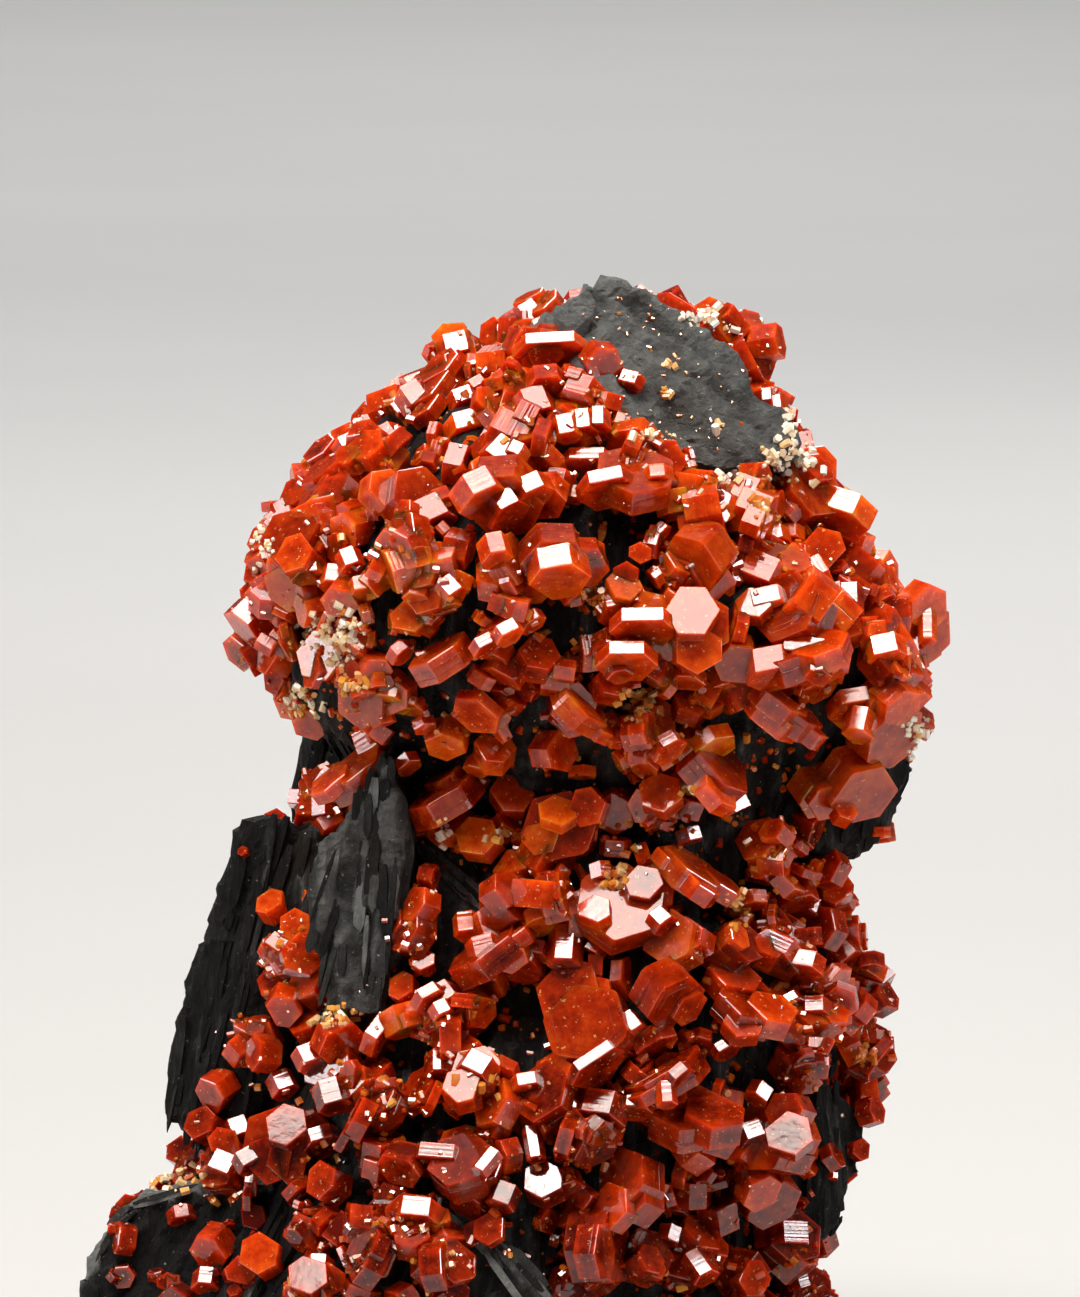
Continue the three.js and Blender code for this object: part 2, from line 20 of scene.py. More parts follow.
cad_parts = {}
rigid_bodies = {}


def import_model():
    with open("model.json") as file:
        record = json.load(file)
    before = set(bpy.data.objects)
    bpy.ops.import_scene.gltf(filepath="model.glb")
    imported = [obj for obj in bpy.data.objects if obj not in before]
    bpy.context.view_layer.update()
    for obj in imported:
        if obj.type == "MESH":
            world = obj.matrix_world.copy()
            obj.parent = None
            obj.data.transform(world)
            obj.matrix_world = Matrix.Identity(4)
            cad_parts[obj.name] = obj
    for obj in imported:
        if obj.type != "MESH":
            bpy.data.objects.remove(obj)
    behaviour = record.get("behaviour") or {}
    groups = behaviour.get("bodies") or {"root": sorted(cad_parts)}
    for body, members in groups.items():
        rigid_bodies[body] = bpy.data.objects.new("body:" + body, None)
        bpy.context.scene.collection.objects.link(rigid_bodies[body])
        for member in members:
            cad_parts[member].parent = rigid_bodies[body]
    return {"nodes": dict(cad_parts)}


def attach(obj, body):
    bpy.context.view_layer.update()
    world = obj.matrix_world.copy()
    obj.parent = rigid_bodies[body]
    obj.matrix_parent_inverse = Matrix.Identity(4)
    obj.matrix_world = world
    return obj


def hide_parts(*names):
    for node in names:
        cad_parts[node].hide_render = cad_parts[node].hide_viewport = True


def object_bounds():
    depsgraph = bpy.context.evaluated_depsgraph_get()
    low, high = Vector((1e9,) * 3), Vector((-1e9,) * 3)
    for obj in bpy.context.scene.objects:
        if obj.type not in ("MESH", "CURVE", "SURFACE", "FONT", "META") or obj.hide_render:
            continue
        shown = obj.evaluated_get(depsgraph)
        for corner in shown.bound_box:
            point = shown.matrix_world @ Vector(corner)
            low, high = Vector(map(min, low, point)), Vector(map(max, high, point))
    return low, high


for starter in list(bpy.data.objects):
    bpy.data.objects.remove(starter)
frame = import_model()
cad_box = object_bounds()
MM = 0.001
random = np.random.default_rng(20)
print("CAD nodes:", len(frame["nodes"]), "box:", [tuple(corner) for corner in cad_box])

# %% [markdown]
# ## From arrays to a mesh
# Every new piece is worked out as arrays of points. A crystal crust repeats one small shape hundreds
# of times. It could be made of copies of one object, but copies can't each have their own size and
# colour, and they are slow to make one by one. So one pattern of faces is used for all: each crystal
# uses the same faces, counted on from its own first point, and `foreach_set` hands the whole mesh to
# Blender at once.
#
# Points can also carry numbers, which a material reads as attributes. Each crystal has a tone, so
# that no two have quite the same colour; low down the tone also carries a painted shade. The level is
# the height along the crystal's axis, for growth layers, and the rim number is 1 at its edges and 0 in
# the middle of its faces, where the crystal is thick: it paints a glow on the thin edges.


# %% Arrays in and out of meshes
def add_numbers(mesh, title, values):
    """One number for each point of a mesh, kept as an attribute that a material can read."""
    layer = mesh.attributes.new(title, "FLOAT", "POINT")
    layer.data.foreach_set("value", values.reshape(-1).astype(np.float32))


def read_points(mesh, title="co"):
    """A mesh's points, or their normals, as an array with one row for each point."""
    values = np.empty(len(mesh.vertices) * 3)
    mesh.vertices.foreach_get(title, values)
    return values.reshape(-1, 3)


def unit(vectors):
    """Vectors divided by their lengths."""
    return vectors / np.linalg.norm(vectors, axis=-1, keepdims=True)


print("a unit vector along (3, 0, 4):", unit(np.array([3.0, 0.0, 4.0])))


# %% Many copies of one face pattern
def mesh_of_copies(name, points, faces, **numbers):
    """Copies of one face pattern. Points is (copies, points in a copy, 3). The face indices of copy k
    are the pattern's indices plus k times the points in a copy. Each named number has one value for a
    copy, or one for each of its points."""
    copies, per_copy = points.shape[:2]
    corners = np.concatenate([np.asarray(face) for face in faces])
    sizes = np.array([len(face) for face in faces])
    starts = np.concatenate([[0], np.cumsum(sizes)[:-1]])
    shift = np.arange(copies)[:, None]
    mesh = bpy.data.meshes.new(name)
    mesh.vertices.add(copies * per_copy)
    mesh.vertices.foreach_set("co", points.reshape(-1))
    mesh.loops.add(copies * len(corners))
    mesh.loops.foreach_set("vertex_index", (corners + shift * per_copy).reshape(-1))
    mesh.polygons.add(copies * len(faces))
    mesh.polygons.foreach_set("loop_start", (starts + shift * len(corners)).reshape(-1))
    mesh.polygons.foreach_set("use_smooth", np.zeros(copies * len(faces), bool))
    mesh.update(calc_edges=True)
    for title, values in numbers.items():
        add_numbers(mesh, title, np.broadcast_to(values.reshape(copies, -1), (copies, per_copy)))
    mesh.validate()
    return mesh


# %% A mesh becomes a piece
def show(name, mesh, material):
    """A mesh as a piece that rides on the one body of the specimen."""
    piece = bpy.data.objects.new(name, mesh)
    bpy.context.scene.collection.objects.link(piece)
    mesh.materials.append(material)
    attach(piece, "root")
    mesh.calc_loop_triangles()
    print(name, "triangles:", len(mesh.loop_triangles))
    return piece


# %% [markdown]
# ## Camera
# The camera looks down a little through a long lens, which flattens the view as a portrait lens does.
# It is set up first, because the crystals that face the front are placed along its lines of sight. A
# place in the picture is given in millimetres: x to the right and h up, both on a plane square to the
# view. The left edge of the CAD box lies at x = LEFT, so the places follow the CAD model.

# %% Camera
LEFT = -33.7
TILT = math.radians(6)
VIEW_HEIGHT = 103.8 * MM
CENTRE = (1.7, 61.9)
right = np.array([1.0, 0.0, 0.0])
up = np.array([0.0, math.sin(TILT), math.cos(TILT)])
back = np.array([0.0, -math.cos(TILT), math.sin(TILT)])
lens_data = bpy.data.cameras.new("camera")
lens_data.lens = 300
lens_data.sensor_fit = "VERTICAL"
lens_data.sensor_height = 36
away = VIEW_HEIGHT * lens_data.lens / lens_data.sensor_height
aim = right * (cad_box[0][0] + (CENTRE[0] - LEFT) * MM) + up * CENTRE[1] * MM + back * 4 * MM
eye = aim + back * away
camera = bpy.data.objects.new("camera", lens_data)
bpy.context.scene.collection.objects.link(camera)
bpy.context.scene.camera = camera
camera.location = eye
camera.rotation_euler = Vector(-back).to_track_quat("-Z", "Y").to_euler()
print("camera distance:", round(away, 3))


def sight(x, h):
    """The camera's line of sight through a place in the picture, as a unit direction."""
    return unit(aim + right * (x - CENTRE[0]) * MM + up * (h - CENTRE[1]) * MM - eye)


# %% [markdown]
# ## Shader helpers
# The materials below are built from nodes, so that they need no image and look right from every side.
# A node tree can be drawn by hand in the shader editor. Written as code it can be read like a recipe,
# if a helper adds a node, links it and sets its numbers in one line. All patterns follow Object
# coordinates or the piece's own numbers, so they stay on the specimen when it moves.


# %% Nodes and their sockets
def set_socket(tree, socket, value):
    """A link into a socket if the value is another socket, and otherwise the socket's own number."""
    if isinstance(value, bpy.types.NodeSocket):
        tree.links.new(value, socket)
    else:
        socket.default_value = value


def add_node(tree, kind, settings=(), **inputs):
    """A shader node with its settings. Inputs are named by their sockets, or i0, i1 by number."""
    node = tree.nodes.new(kind)
    for key, value in dict(settings).items():
        setattr(node, key, value)
    for key, value in inputs.items():
        numbered = key[0] == "i" and key[1:].isdigit()
        set_socket(tree, node.inputs[int(key[1:]) if numbered else key.replace("_", " ")], value)
    return node


def new_material(name):
    """An empty material with its surface shader and Object coordinates."""
    material = bpy.data.materials.new(name)
    material.use_nodes = True
    tree = material.node_tree
    surface = tree.nodes["Principled BSDF"]
    place = tree.nodes.new("ShaderNodeTexCoord").outputs["Object"]
    return material, tree, surface, place


# %% Patterns, colours and sums
def number(tree, title):
    """A number that the piece's points carry."""
    return add_node(tree, "ShaderNodeAttribute", {"attribute_name": title}).outputs["Fac"]


def noise(tree, place, scale, detail, roughness):
    """Soft noise at a scale in cells per metre."""
    numbers = {"Scale": scale, "Detail": detail, "Roughness": roughness}
    return add_node(tree, "ShaderNodeTexNoise", Vector=place, **numbers).outputs["Fac"]


def ramp(tree, value, stops):
    """A colour ramp. Each stop is a position and a colour."""
    node = add_node(tree, "ShaderNodeValToRGB", i0=value)
    elements = node.color_ramp.elements
    while len(elements) < len(stops):
        elements.new(0.5)
    for element, (position, colour) in zip(elements, stops):
        element.position = position
        element.color = (*colour, 1)
    return node.outputs["Color"]


def mixed(tree, share, first, second):
    """Two colours or numbers mixed by a share."""
    node = add_node(tree, "ShaderNodeMix", {"data_type": "RGBA"}, i0=share)
    for index, value in ((6, first), (7, second)):
        set_socket(tree, node.inputs[index], (*value, 1) if isinstance(value, tuple) else value)
    return node.outputs[2]


def calculated(tree, operation, *values):
    """A Math node."""
    node = add_node(tree, "ShaderNodeMath", {"operation": operation})
    for socket, value in zip(node.inputs, values):
        set_socket(tree, socket, value)
    return node.outputs[0]


def bump(tree, height, strength, depth, under=None):
    """A bump of a depth in metres, laid over another one."""
    node = add_node(tree, "ShaderNodeBump", Height=height, Strength=strength, Distance=depth)
    if under is not None:
        tree.links.new(under, node.inputs["Normal"])
    return node.outputs["Normal"]


# %% [markdown]
# ## Crystal material
# Vanadinite has an adamantine lustre, so its faces flash white where they catch a lamp. The body is
# red, thin edges glow orange because light soaks through them, and the large crystals are a little
# clear. Glass with an absorbing volume is another way to make such a crystal, and was not tried here.
# Subsurface light gives the glow, and a part of plain transmission in the large crystals gives the
# clearness. The small ones have none, which looked nearly the same and was quicker. The tone, the rim
# number, the level and two noises choose the place in a ramp from deep red to orange; the rim number
# paints more of that orange glow on thin edges, and low down the tone carries a painted shade. A third
# noise gives painted sparkle: small bright orange flecks that stand in for tiny glints.

# %% Crystal colours
RED_STOPS = [
    (0.0, (0.10, 0.004, 0.001)),
    (0.33, (0.44, 0.027, 0.0015)),
    (0.62, (0.76, 0.098, 0.004)),
    (0.92, (0.95, 0.32, 0.01)),
]
PALE_STOPS = [
    (0.1, (0.60, 0.12, 0.008)),
    (0.45, (0.74, 0.33, 0.05)),
    (0.8, (0.82, 0.62, 0.34)),
    (1.0, (0.86, 0.79, 0.66)),
]
# Painted sparkle: bright orange flecks in the colour stand in for tiny glints on the faces.
PAINTED_SPARKLE_STOPS = [(0.64, (0, 0, 0)), (0.72, (0.75, 0.75, 0.75))]
PAINTED_SPARKLE_COLOUR = (0.95, 0.5, 0.2)


# %% Crystal material
def crystal_shade(tree, place, reach, veil, layers):
    """The place in the colour ramp: the tone times its reach, plus a share of a soft cloud, a finer
    veil, the growth layers and the rim's painted glow on thin edges, less a constant that sets how dark
    the whole is."""
    cloud = noise(tree, place, 300, 5, 0.65)
    shade = calculated(tree, "MULTIPLY", cloud, 0.75)
    shade = calculated(tree, "MULTIPLY_ADD", number(tree, "tone"), reach, shade)
    shade = calculated(tree, "MULTIPLY_ADD", veil, 0.6, shade)
    shade = calculated(tree, "MULTIPLY_ADD", layers, 0.12, shade)
    # The rim number paints an orange glow on thin edges.
    painted_glow_rim = calculated(tree, "POWER", number(tree, "painted_glow_rim"), 2.5)
    shade = calculated(tree, "MULTIPLY_ADD", painted_glow_rim, 0.15, shade)
    return calculated(tree, "SUBTRACT", shade, 0.67)


def crystal_material(name, glow, clear, roughness, stops, reach=0.5):
    """A crystal finish. Glow is its subsurface share, clear its transmission, and reach how far the
    tones of its crystals lie apart."""
    material, tree, surface, place = new_material(name)
    veil = noise(tree, place, 1100, 4, 0.6)
    along = {"W": number(tree, "level"), "Scale": 3.5, "Detail": 4}
    layers = add_node(tree, "ShaderNodeTexNoise", {"noise_dimensions": "1D"}, **along).outputs["Fac"]
    body = ramp(tree, crystal_shade(tree, place, reach, veil, layers), stops)
    # Painted sparkle mixed into the body colour.
    painted_sparkle = ramp(tree, noise(tree, place, 2600, 3, 0.6), PAINTED_SPARKLE_STOPS)
    set_socket(tree, surface.inputs["Base Color"], mixed(tree, painted_sparkle, body, PAINTED_SPARKLE_COLOUR))
    rough = calculated(tree, "MULTIPLY_ADD", veil, 0.08, roughness)
    set_socket(tree, surface.inputs["Roughness"], rough)
    surface.inputs["IOR"].default_value = 1.65
    surface.inputs["Transmission Weight"].default_value = clear
    surface.inputs["Subsurface Weight"].default_value = glow
    surface.inputs["Subsurface Radius"].default_value = (1.0, 0.22, 0.05)
    surface.inputs["Subsurface Scale"].default_value = 2.5 * MM
    steps = bump(tree, noise(tree, place, 1500, 3, 0.5), 0.1, 0.06 * MM)
    set_socket(tree, surface.inputs["Normal"], bump(tree, layers, 0.35, 0.05 * MM, steps))
    return material


large_material = crystal_material("vanadinite_large", 0.85, 0.35, 0.02, RED_STOPS)
small_material = crystal_material("vanadinite_small", 0.85, 0, 0.025, RED_STOPS)
pale_material = crystal_material("pale_crystals", 0, 0, 0.1, PALE_STOPS, 1.0)
print("crystal materials:", [each.name for each in (large_material, small_material, pale_material)])

# %% [markdown]
# ## Rock material
# The matrix is coated in manganese oxides: near black, dull, and fibrous along its blades, with brown
# stains and smooth grey faces. Its fine glitter is painted, as light specks in the colour. A flat black
# would show no shape at all. So two numbers on the rock's points steer the colour: the ridge number is
# high where a fibre stands out and paints a sheen there as a lighter grey, and it also paints a
# highlight along the top edge of the foot plate; the polish number is high on the smooth grey faces.
# Noise that is drawn out upwards gives the fibres, and plain noise the pebbly parts.

# %% Rock colours
ROCK_STOPS = [
    (0.48, (0.0008, 0.0007, 0.0006)),
    (0.66, (0.0045, 0.0043, 0.004)),
    (0.8, (0.028, 0.028, 0.026)),
    (0.97, (0.15, 0.155, 0.15)),
]
STAIN_STOPS = [(0.52, (0, 0, 0)), (0.72, (0.5, 0.5, 0.5))]
STAIN_COLOUR = (0.03, 0.016, 0.008)
# Painted glitter: grey specks in the colour stand in for glints on the rock.
GLOSSY_PAINTED_GLITTER_STOPS = [(0.68, (0, 0, 0)), (0.75, (1, 1, 1))]
PAINTED_GLITTER_COLOUR = (0.3, 0.29, 0.27)


# %% Rock material
def rock_material():
    """The rock finish. Its place in the colour ramp is 0.55 times the ridge number, a painted sheen on
    raised fibres, plus 0.4 times the polish, plus the fibre noise times a relief that is weaker on
    polished rock. Light specks in it are painted glitter."""
    material, tree, surface, place = new_material("manganese_rock")
    drawn_out = add_node(tree, "ShaderNodeMapping", Vector=place, Scale=(1, 1, 0.22)).outputs[0]
    threads = noise(tree, drawn_out, 1500, 6, 0.65)
    pebbles = noise(tree, place, 800, 6, 0.7)
    patch = noise(tree, place, 120, 5, 0.6)
    grain = noise(tree, place, 2400, 3, 0.6)
    polish = number(tree, "polish")
    fibre = mixed(tree, polish, threads, pebbles)
    relief = calculated(tree, "MULTIPLY_ADD", polish, -0.32, 0.6)
    shade = calculated(tree, "MULTIPLY", fibre, relief)
    # The ridge number paints a sheen: raised fibres, and the foot plate's top edge, are lighter.
    shade = calculated(tree, "MULTIPLY_ADD", number(tree, "ridge"), 0.55, shade)
    shade = calculated(tree, "MULTIPLY_ADD", polish, 0.4, shade)
    stained = mixed(tree, ramp(tree, patch, STAIN_STOPS), ramp(tree, shade, ROCK_STOPS), STAIN_COLOUR)
    # The painted glitter specks are glossier too.
    glossy_painted_glitter = ramp(tree, grain, GLOSSY_PAINTED_GLITTER_STOPS)
    set_socket(tree, surface.inputs["Base Color"], mixed(tree, glossy_painted_glitter, stained, PAINTED_GLITTER_COLOUR))
    rough = calculated(tree, "MULTIPLY_ADD", glossy_painted_glitter, -0.4, 0.72)
    set_socket(tree, surface.inputs["Roughness"], rough)
    surface.inputs["IOR"].default_value = 1.5
    surface.inputs["Specular IOR Level"].default_value = 0.22
    coarse = bump(tree, fibre, 1.0, 0.9 * MM)
    set_socket(tree, surface.inputs["Normal"], bump(tree, grain, 0.5, 0.1 * MM, coarse))
    return material


rock_look = rock_material()
print("nodes in the rock material:", len(rock_look.node_tree.nodes))

# %% [markdown]
# ## Rock
# The CAD rock is a plain solid of sections and plates. Real manganese-coated rock breaks into blades
# and fibres. Sculpting could add them, or a Displace modifier with a cloud texture, but neither knows
# which way the blades run. Here the solid is copied and rebuilt as an even net of small faces, and its
# points are pushed in and out by ridged noise that is drawn out along the upright blades.


# %% Noise on arrays of points
def lattice(cells, seed):
    """A random number from 0 to 1 for each whole-number cell, from the fraction of a sine."""
    mix = cells @ np.array([127.1, 311.7, 74.7]) + seed * 17.3
    return np.modf(np.abs(np.sin(mix) * 43758.5453))[0]


def smooth_noise(points, seed):
    """Values at the eight corners of each point's cell, blended by a smooth step."""
    low = np.floor(points)
    part = points - low
    part = part * part * (3 - 2 * part)
    total = np.zeros(len(points))
    for corner in np.ndindex(2, 2, 2):
        corner = np.array(corner)
        share = np.prod(np.where(corner == 1, part, 1 - part), axis=1)
        total += share * lattice(low + corner, seed)
    return total


def ridged(points, seed, octaves):
    """Ridges: one minus twice the distance of noise from its middle, added at rising scales."""
    total = np.zeros(len(points))
    for k in range(octaves):
        value = smooth_noise(points * 2.0**k, seed + k)
        total += (1 - np.abs(2 * value - 1)) * 0.5**k
    return total / (2 - 0.5 ** (octaves - 1))


sample = ridged(np.linspace(0, 9, 300).reshape(-1, 3), 3, 2)
print("ridged noise runs from", sample.min().round(2), "to", sample.max().round(2))

# %% [markdown]
# ## Kinds of rock
# The rock isn't the same all over. The tall blade at the left and the crown are smooth and grey, two
# shards are pale, the top edge of the foot plate gets a painted highlight, and the rest is black and
# fibrous. One could paint these parts by hand as a mask. Here each is a short formula of the place in
# millimetres, so it stays sharp at any net size.

# %% Where the rock is smooth or pale, and where a highlight is painted
SHARDS = [(-6.0, 18.9, 1.8, 10.4, -18.6), (-8.4, 48.2, -2.8, 42.0, -9.0)]
FOOT_EDGE = ([-34.6, -33.0, -31.0, -26.0, -17.0], [12.9, 17.2, 18.8, 20.0, 20.6])


def lean_of(points):
    """How far the fibres lean to the right for each millimetre that they rise, by region."""
    x, _, z = (points / MM).T
    return np.where((z > 75) & (x > 0), -1.0, np.where(x < -15, 0.3, 0.1))


def shards(x, y, z):
    """1 within a millimetre of the line down the middle of each pale shard, where the rock stands
    in front of a depth. The nearest place on a line is the product along it, held between its ends."""
    near = np.zeros(len(x))
    for x0, z0, x1, z1, front in SHARDS:
        along = ((x - x0) * (x1 - x0) + (z - z0) * (z1 - z0)) / ((x1 - x0) ** 2 + (z1 - z0) ** 2)
        along = np.clip(along, 0, 1)
        off = np.hypot(x - x0 - along * (x1 - x0), z - z0 - along * (z1 - z0))
        near = np.maximum(near, np.clip(2.0 - off, 0, 1) * (y < front))
    return near


def polish_of(points):
    """0.8 on the tall blade, 1 on the crown and 0.5 on the shards, fading to 0 elsewhere, less 0.5 on
    the outer blade. Each is a product of ramps that rise from 0 to 1 at the part's edges."""
    x, y, z = (points / MM).T
    tall = np.clip((z - 31) / 2, 0, 1) * np.clip((56 - z) / 2, 0, 1) * (y < -4)
    blade = 0.8 * np.clip(3 - np.abs(x + 13) * 0.75, 0, 1) * tall
    crown = np.clip((z - 75) / 2, 0, 1) * (x > 0)
    return np.maximum(np.maximum(blade, crown), 0.5 * shards(x, y, z)) - 0.5 * (x < -17.5)


def painted_crest_highlight_of(points):
    """A painted highlight: 1 along the top edge of the foot plate, fading to 0 a millimetre below it."""
    x, _, z = (points / MM).T
    return np.clip(1.2 - (np.interp(x, *FOOT_EDGE) - z) / 0.9, 0, 1) * (x < -20) * (z < 22.5)


print("polish on the crown:", polish_of(np.array([[10, -8, 84]]) * MM))


# %% An even net over the CAD rock
def merged_copy(node):
    """A CAD node's mesh with its doubled points merged, as a new mesh."""
    copy = frame["nodes"][node].data.copy()
    copy.materials.clear()
    work = bmesh.new()
    work.from_mesh(copy)
    bmesh.ops.remove_doubles(work, verts=work.verts, dist=1e-7)
    work.to_mesh(copy)
    work.free()
    return copy


def even_net(node, grain):
    """The node's solid rebuilt by a Remesh modifier as an even net of faces of one size."""
    holder = bpy.data.objects.new("rock_source", merged_copy(node))
    bpy.context.scene.collection.objects.link(holder)
    remesh = holder.modifiers.new("even net", "REMESH")
    remesh.mode = "VOXEL"
    remesh.voxel_size = grain
    ready = holder.evaluated_get(bpy.context.evaluated_depsgraph_get())
    mesh = bpy.data.meshes.new_from_object(ready)
    bpy.data.objects.remove(holder)
    return mesh


rock_mesh = even_net("matrix", 0.52 * MM)
print("points in the even net:", len(rock_mesh.vertices))


# %% Blades, fibres and fissures
def rough_rock(mesh):
    """Each point is pushed along its normal by a sum of noises: thin threads, broad blades, steps
    between layers, and lumps. Polished rock gets pebbles in place of half of that, and the crown gets
    slanting slabs and cracks. The push fades to 0 at the cut base. The ridge number is the mean of
    threads and blades, drawn to an even grey on polished rock: a painted sheen that lightens the raised
    fibres, with a painted highlight added along the foot plate's top edge."""
    points, normals = read_points(mesh), read_points(mesh, "normal")
    x, y, z = (points / MM).T
    across = x - lean_of(points) * z
    threads = ridged(np.stack([across / 1.1, y / 1.1, z / 9], axis=1), 3, 2)
    blades = ridged(np.stack([across / 3.4, y / 3.4, z / 18], axis=1), 11, 2)
    steps = np.floor(5 * smooth_noise(np.stack([across / 4, y / 4, z / 9], axis=1), 7)) / 5
    lumps = smooth_noise(points / MM / 6, 9)
    polish = polish_of(points)
    smooth = np.clip(polish, 0, 1)
    push = 0.8 * threads + 1.7 * blades + 1.9 * steps + 0.9 * lumps - 2.45
    push *= 1 - 0.45 * smooth
    pebbles = smooth_noise(points / MM / 1.7, 41) + 0.5 * smooth_noise(points / MM / 0.9, 42) - 0.75
    push += 0.9 * pebbles * np.clip(polish, 0.2, 1)
    slant = np.stack([(x + z) / 4.5, y / 6, (x - z) / 13], axis=1)
    slabs = np.floor(4 * smooth_noise(slant, 52)) / 4 - 0.45
    cracks = np.clip((ridged(slant, 55, 1) - 0.86) / 0.14, 0, 1)
    push += (1.5 * slabs - 0.9 * cracks) * (z > 70) * smooth
    settle = np.clip(z / 2, 0, 1)
    ridge = 0.6 * threads + 0.4 * blades
    ridge += (0.68 + 0.35 * (lumps - 0.5) - ridge) * 0.6 * smooth
    points += normals * (push * settle * MM)[:, None]
    points[:, 2] = np.maximum(points[:, 2], 0)
    mesh.vertices.foreach_set("co", points.reshape(-1))
    # The ridge number is a painted sheen on raised fibres, with a painted highlight along the foot plate's
    # top edge.
    add_numbers(mesh, "ridge", ridge + 1.1 * painted_crest_highlight_of(points))
    add_numbers(mesh, "polish", polish)
    mesh.update()
    print("the rock is pushed by", push.min().round(2), "to", push.max().round(2), "mm")


rough_rock(rock_mesh)
rock = show("rock", rock_mesh, rock_look)
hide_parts("matrix")

# %% [markdown]
# ## Reading the crystals back from the CAD model
# Each large crystal is a hexagonal prism in the CAD model, cut where it meets the rock or a neighbour.
# Its places could be typed in again here, but then a change in the CAD model would be missed. Its flat
# faces still tell exactly where it is. An end face has side faces round it, all square to it and
# turned by multiples of 60 degrees from each other. Three sides are enough to solve for the centre
# and the width, because each side's distance is the centre's distance along it plus the crystal's
# half width.


# %% Flat faces of a CAD node
def flat_faces(node):
    """The node's flat faces: normal, middle, area, neighbours and corner points of each."""
    work = bmesh.new()
    work.from_mesh(frame["nodes"][node].data)
    bmesh.ops.remove_doubles(work, verts=work.verts, dist=2e-6)
    bmesh.ops.dissolve_limit(work, angle_limit=math.radians(0.4), verts=work.verts, edges=work.edges)
    work.normal_update()
    work.faces.index_update()
    faces = []
    for face in work.faces:
        near = {other.index for edge in face.edges for other in edge.link_faces} - {face.index}
        points = np.array([vert.co for vert in face.verts])
        middle = np.array(face.calc_center_median())
        faces.append((np.array(face.normal), middle, face.calc_area(), near, points))
    work.free()
    return faces


print("flat faces of the matrix:", len(flat_faces("matrix")))


# %% Prisms from flat faces
LEAST_END = 1.0 * MM * MM
LEAST_SIDE = 0.25 * MM * MM


def hexagon_sides(faces, normal, square):
    """The largest set of faces whose turns about the end's normal agree, once whole multiples of 60
    degrees are taken off, and the direction of the first of them."""
    first = unit(faces[square[0]][0] - (faces[square[0]][0] @ normal) * normal)
    second = np.cross(normal, first)
    turns = [math.degrees(math.atan2(faces[k][0] @ second, faces[k][0] @ first)) for k in square]
    turns = np.array(turns)
    best, start = [], 0
    for turn in turns:
        off = (turns - turn + 30) % 60 - 30
        group = [k for k, gap in zip(square, off) if abs(gap) < 0.4]
        if len(group) > len(best):
            best, start = group, math.radians(turn)
    return best, math.cos(start) * first + math.sin(start) * second


def prisms_in(node):
    """Every hexagonal prism that the node's flat faces give. Each side's distance along its normal is
    u times its share of one direction, plus v times its share of the other, plus the half width:
    least squares solves for u, v and the half width."""
    faces = flat_faces(node)
    found = []
    for normal, middle, area, near, _ in faces:
        square = [k for k in near if abs(faces[k][0] @ normal) < 0.003 and faces[k][2] > LEAST_SIDE]
        if area < LEAST_END or len(square) < 3:
            continue
        best, side = hexagon_sides(faces, normal, square)
        across = np.cross(normal, side)
        rows = np.array([[faces[k][0] @ side, faces[k][0] @ across, 1] for k in best])
        if len(rows) < 3 or np.linalg.svd(rows)[1][-1] < 0.3:
            continue
        reach = np.array([faces[k][0] @ faces[k][1] for k in best])
        u, v, half = np.linalg.lstsq(rows, reach, rcond=None)[0]
        top = normal @ middle
        depth = top - min((faces[k][4] @ normal).min() for k in best)
        centre = side * u + across * v + normal * top
        found.append({"top": centre, "axis": normal, "side": side, "half": half, "depth": depth})
    return found


def crystals_of(node):
    """Prisms with two ends are joined: the second end lies straight below the first."""
    kept = []
    for end in sorted(prisms_in(node), key=lambda end: -end["depth"]):
        twin = False
        for other in kept:
            apart = end["top"] - other["top"]
            opposite = end["axis"] @ other["axis"] < -0.999
            along = -(apart @ other["axis"])
            sideways = np.linalg.norm(apart + along * other["axis"])
            if opposite and sideways < 0.1 * MM and 0 < along < 6 * MM:
                other["depth"] = along
                twin = True
        if not twin:
            kept.append(end)
    return [end for end in kept if 0.8 * MM < end["half"] < 5 * MM]


large = [one for node in frame["nodes"] if node != "matrix" for one in crystals_of(node)]
print("crystals read back from the CAD model:", len(large))

# %% [markdown]
# ## A crystal as rings of sides
# A hexagonal prism could be a cylinder with six sides and a Bevel modifier. As rings of numbers it
# needs no modifier, and hundreds are made at once: a prism is a stack of rings, all with the same
# sides. Each ring sits at a height along the crystal's axis, and each of its sides stands a distance
# from the axis. Where two neighbouring sides meet there is a corner, and its place is a short formula.
# So bevels, growth steps on the end face and grooves between growth layers are only numbers: smaller
# side distances at certain heights.


# %% Rings to points
def ring_points(middle, axis, side, reach, height):
    """Corners of rings. Reach is (crystals, rings, sides), the distance of each side from the axis.
    Height is (crystals, rings), measured from the middle. Side k's direction is the first one turned
    by k equal steps. A corner is a times its side's direction plus b times the next one's, where
    a = (d - c e) / s and b = (e - c d) / s, for distances d and e, c = cos(step), s = sin(step)^2."""
    count = reach.shape[2]
    step = 2 * math.pi / count
    turn = np.arange(count) * step
    across = np.cross(axis, side)
    ways = side[:, None] * np.cos(turn)[None, :, None] + across[:, None] * np.sin(turn)[None, :, None]
    after = np.roll(reach, -1, axis=2)
    square = math.sin(step) ** 2
    a = (reach - math.cos(step) * after) / square
    b = (after - math.cos(step) * reach) / square
    flat = a[..., None] * ways[:, None] + b[..., None] * np.roll(ways, -1, axis=1)[:, None]
    points = middle[:, None, None] + flat + height[..., None, None] * axis[:, None, None]
    ends = middle[:, None] + height[:, [0, -1], None] * axis[:, None]
    return np.concatenate([points.reshape(len(middle), -1, 3), ends], axis=1)


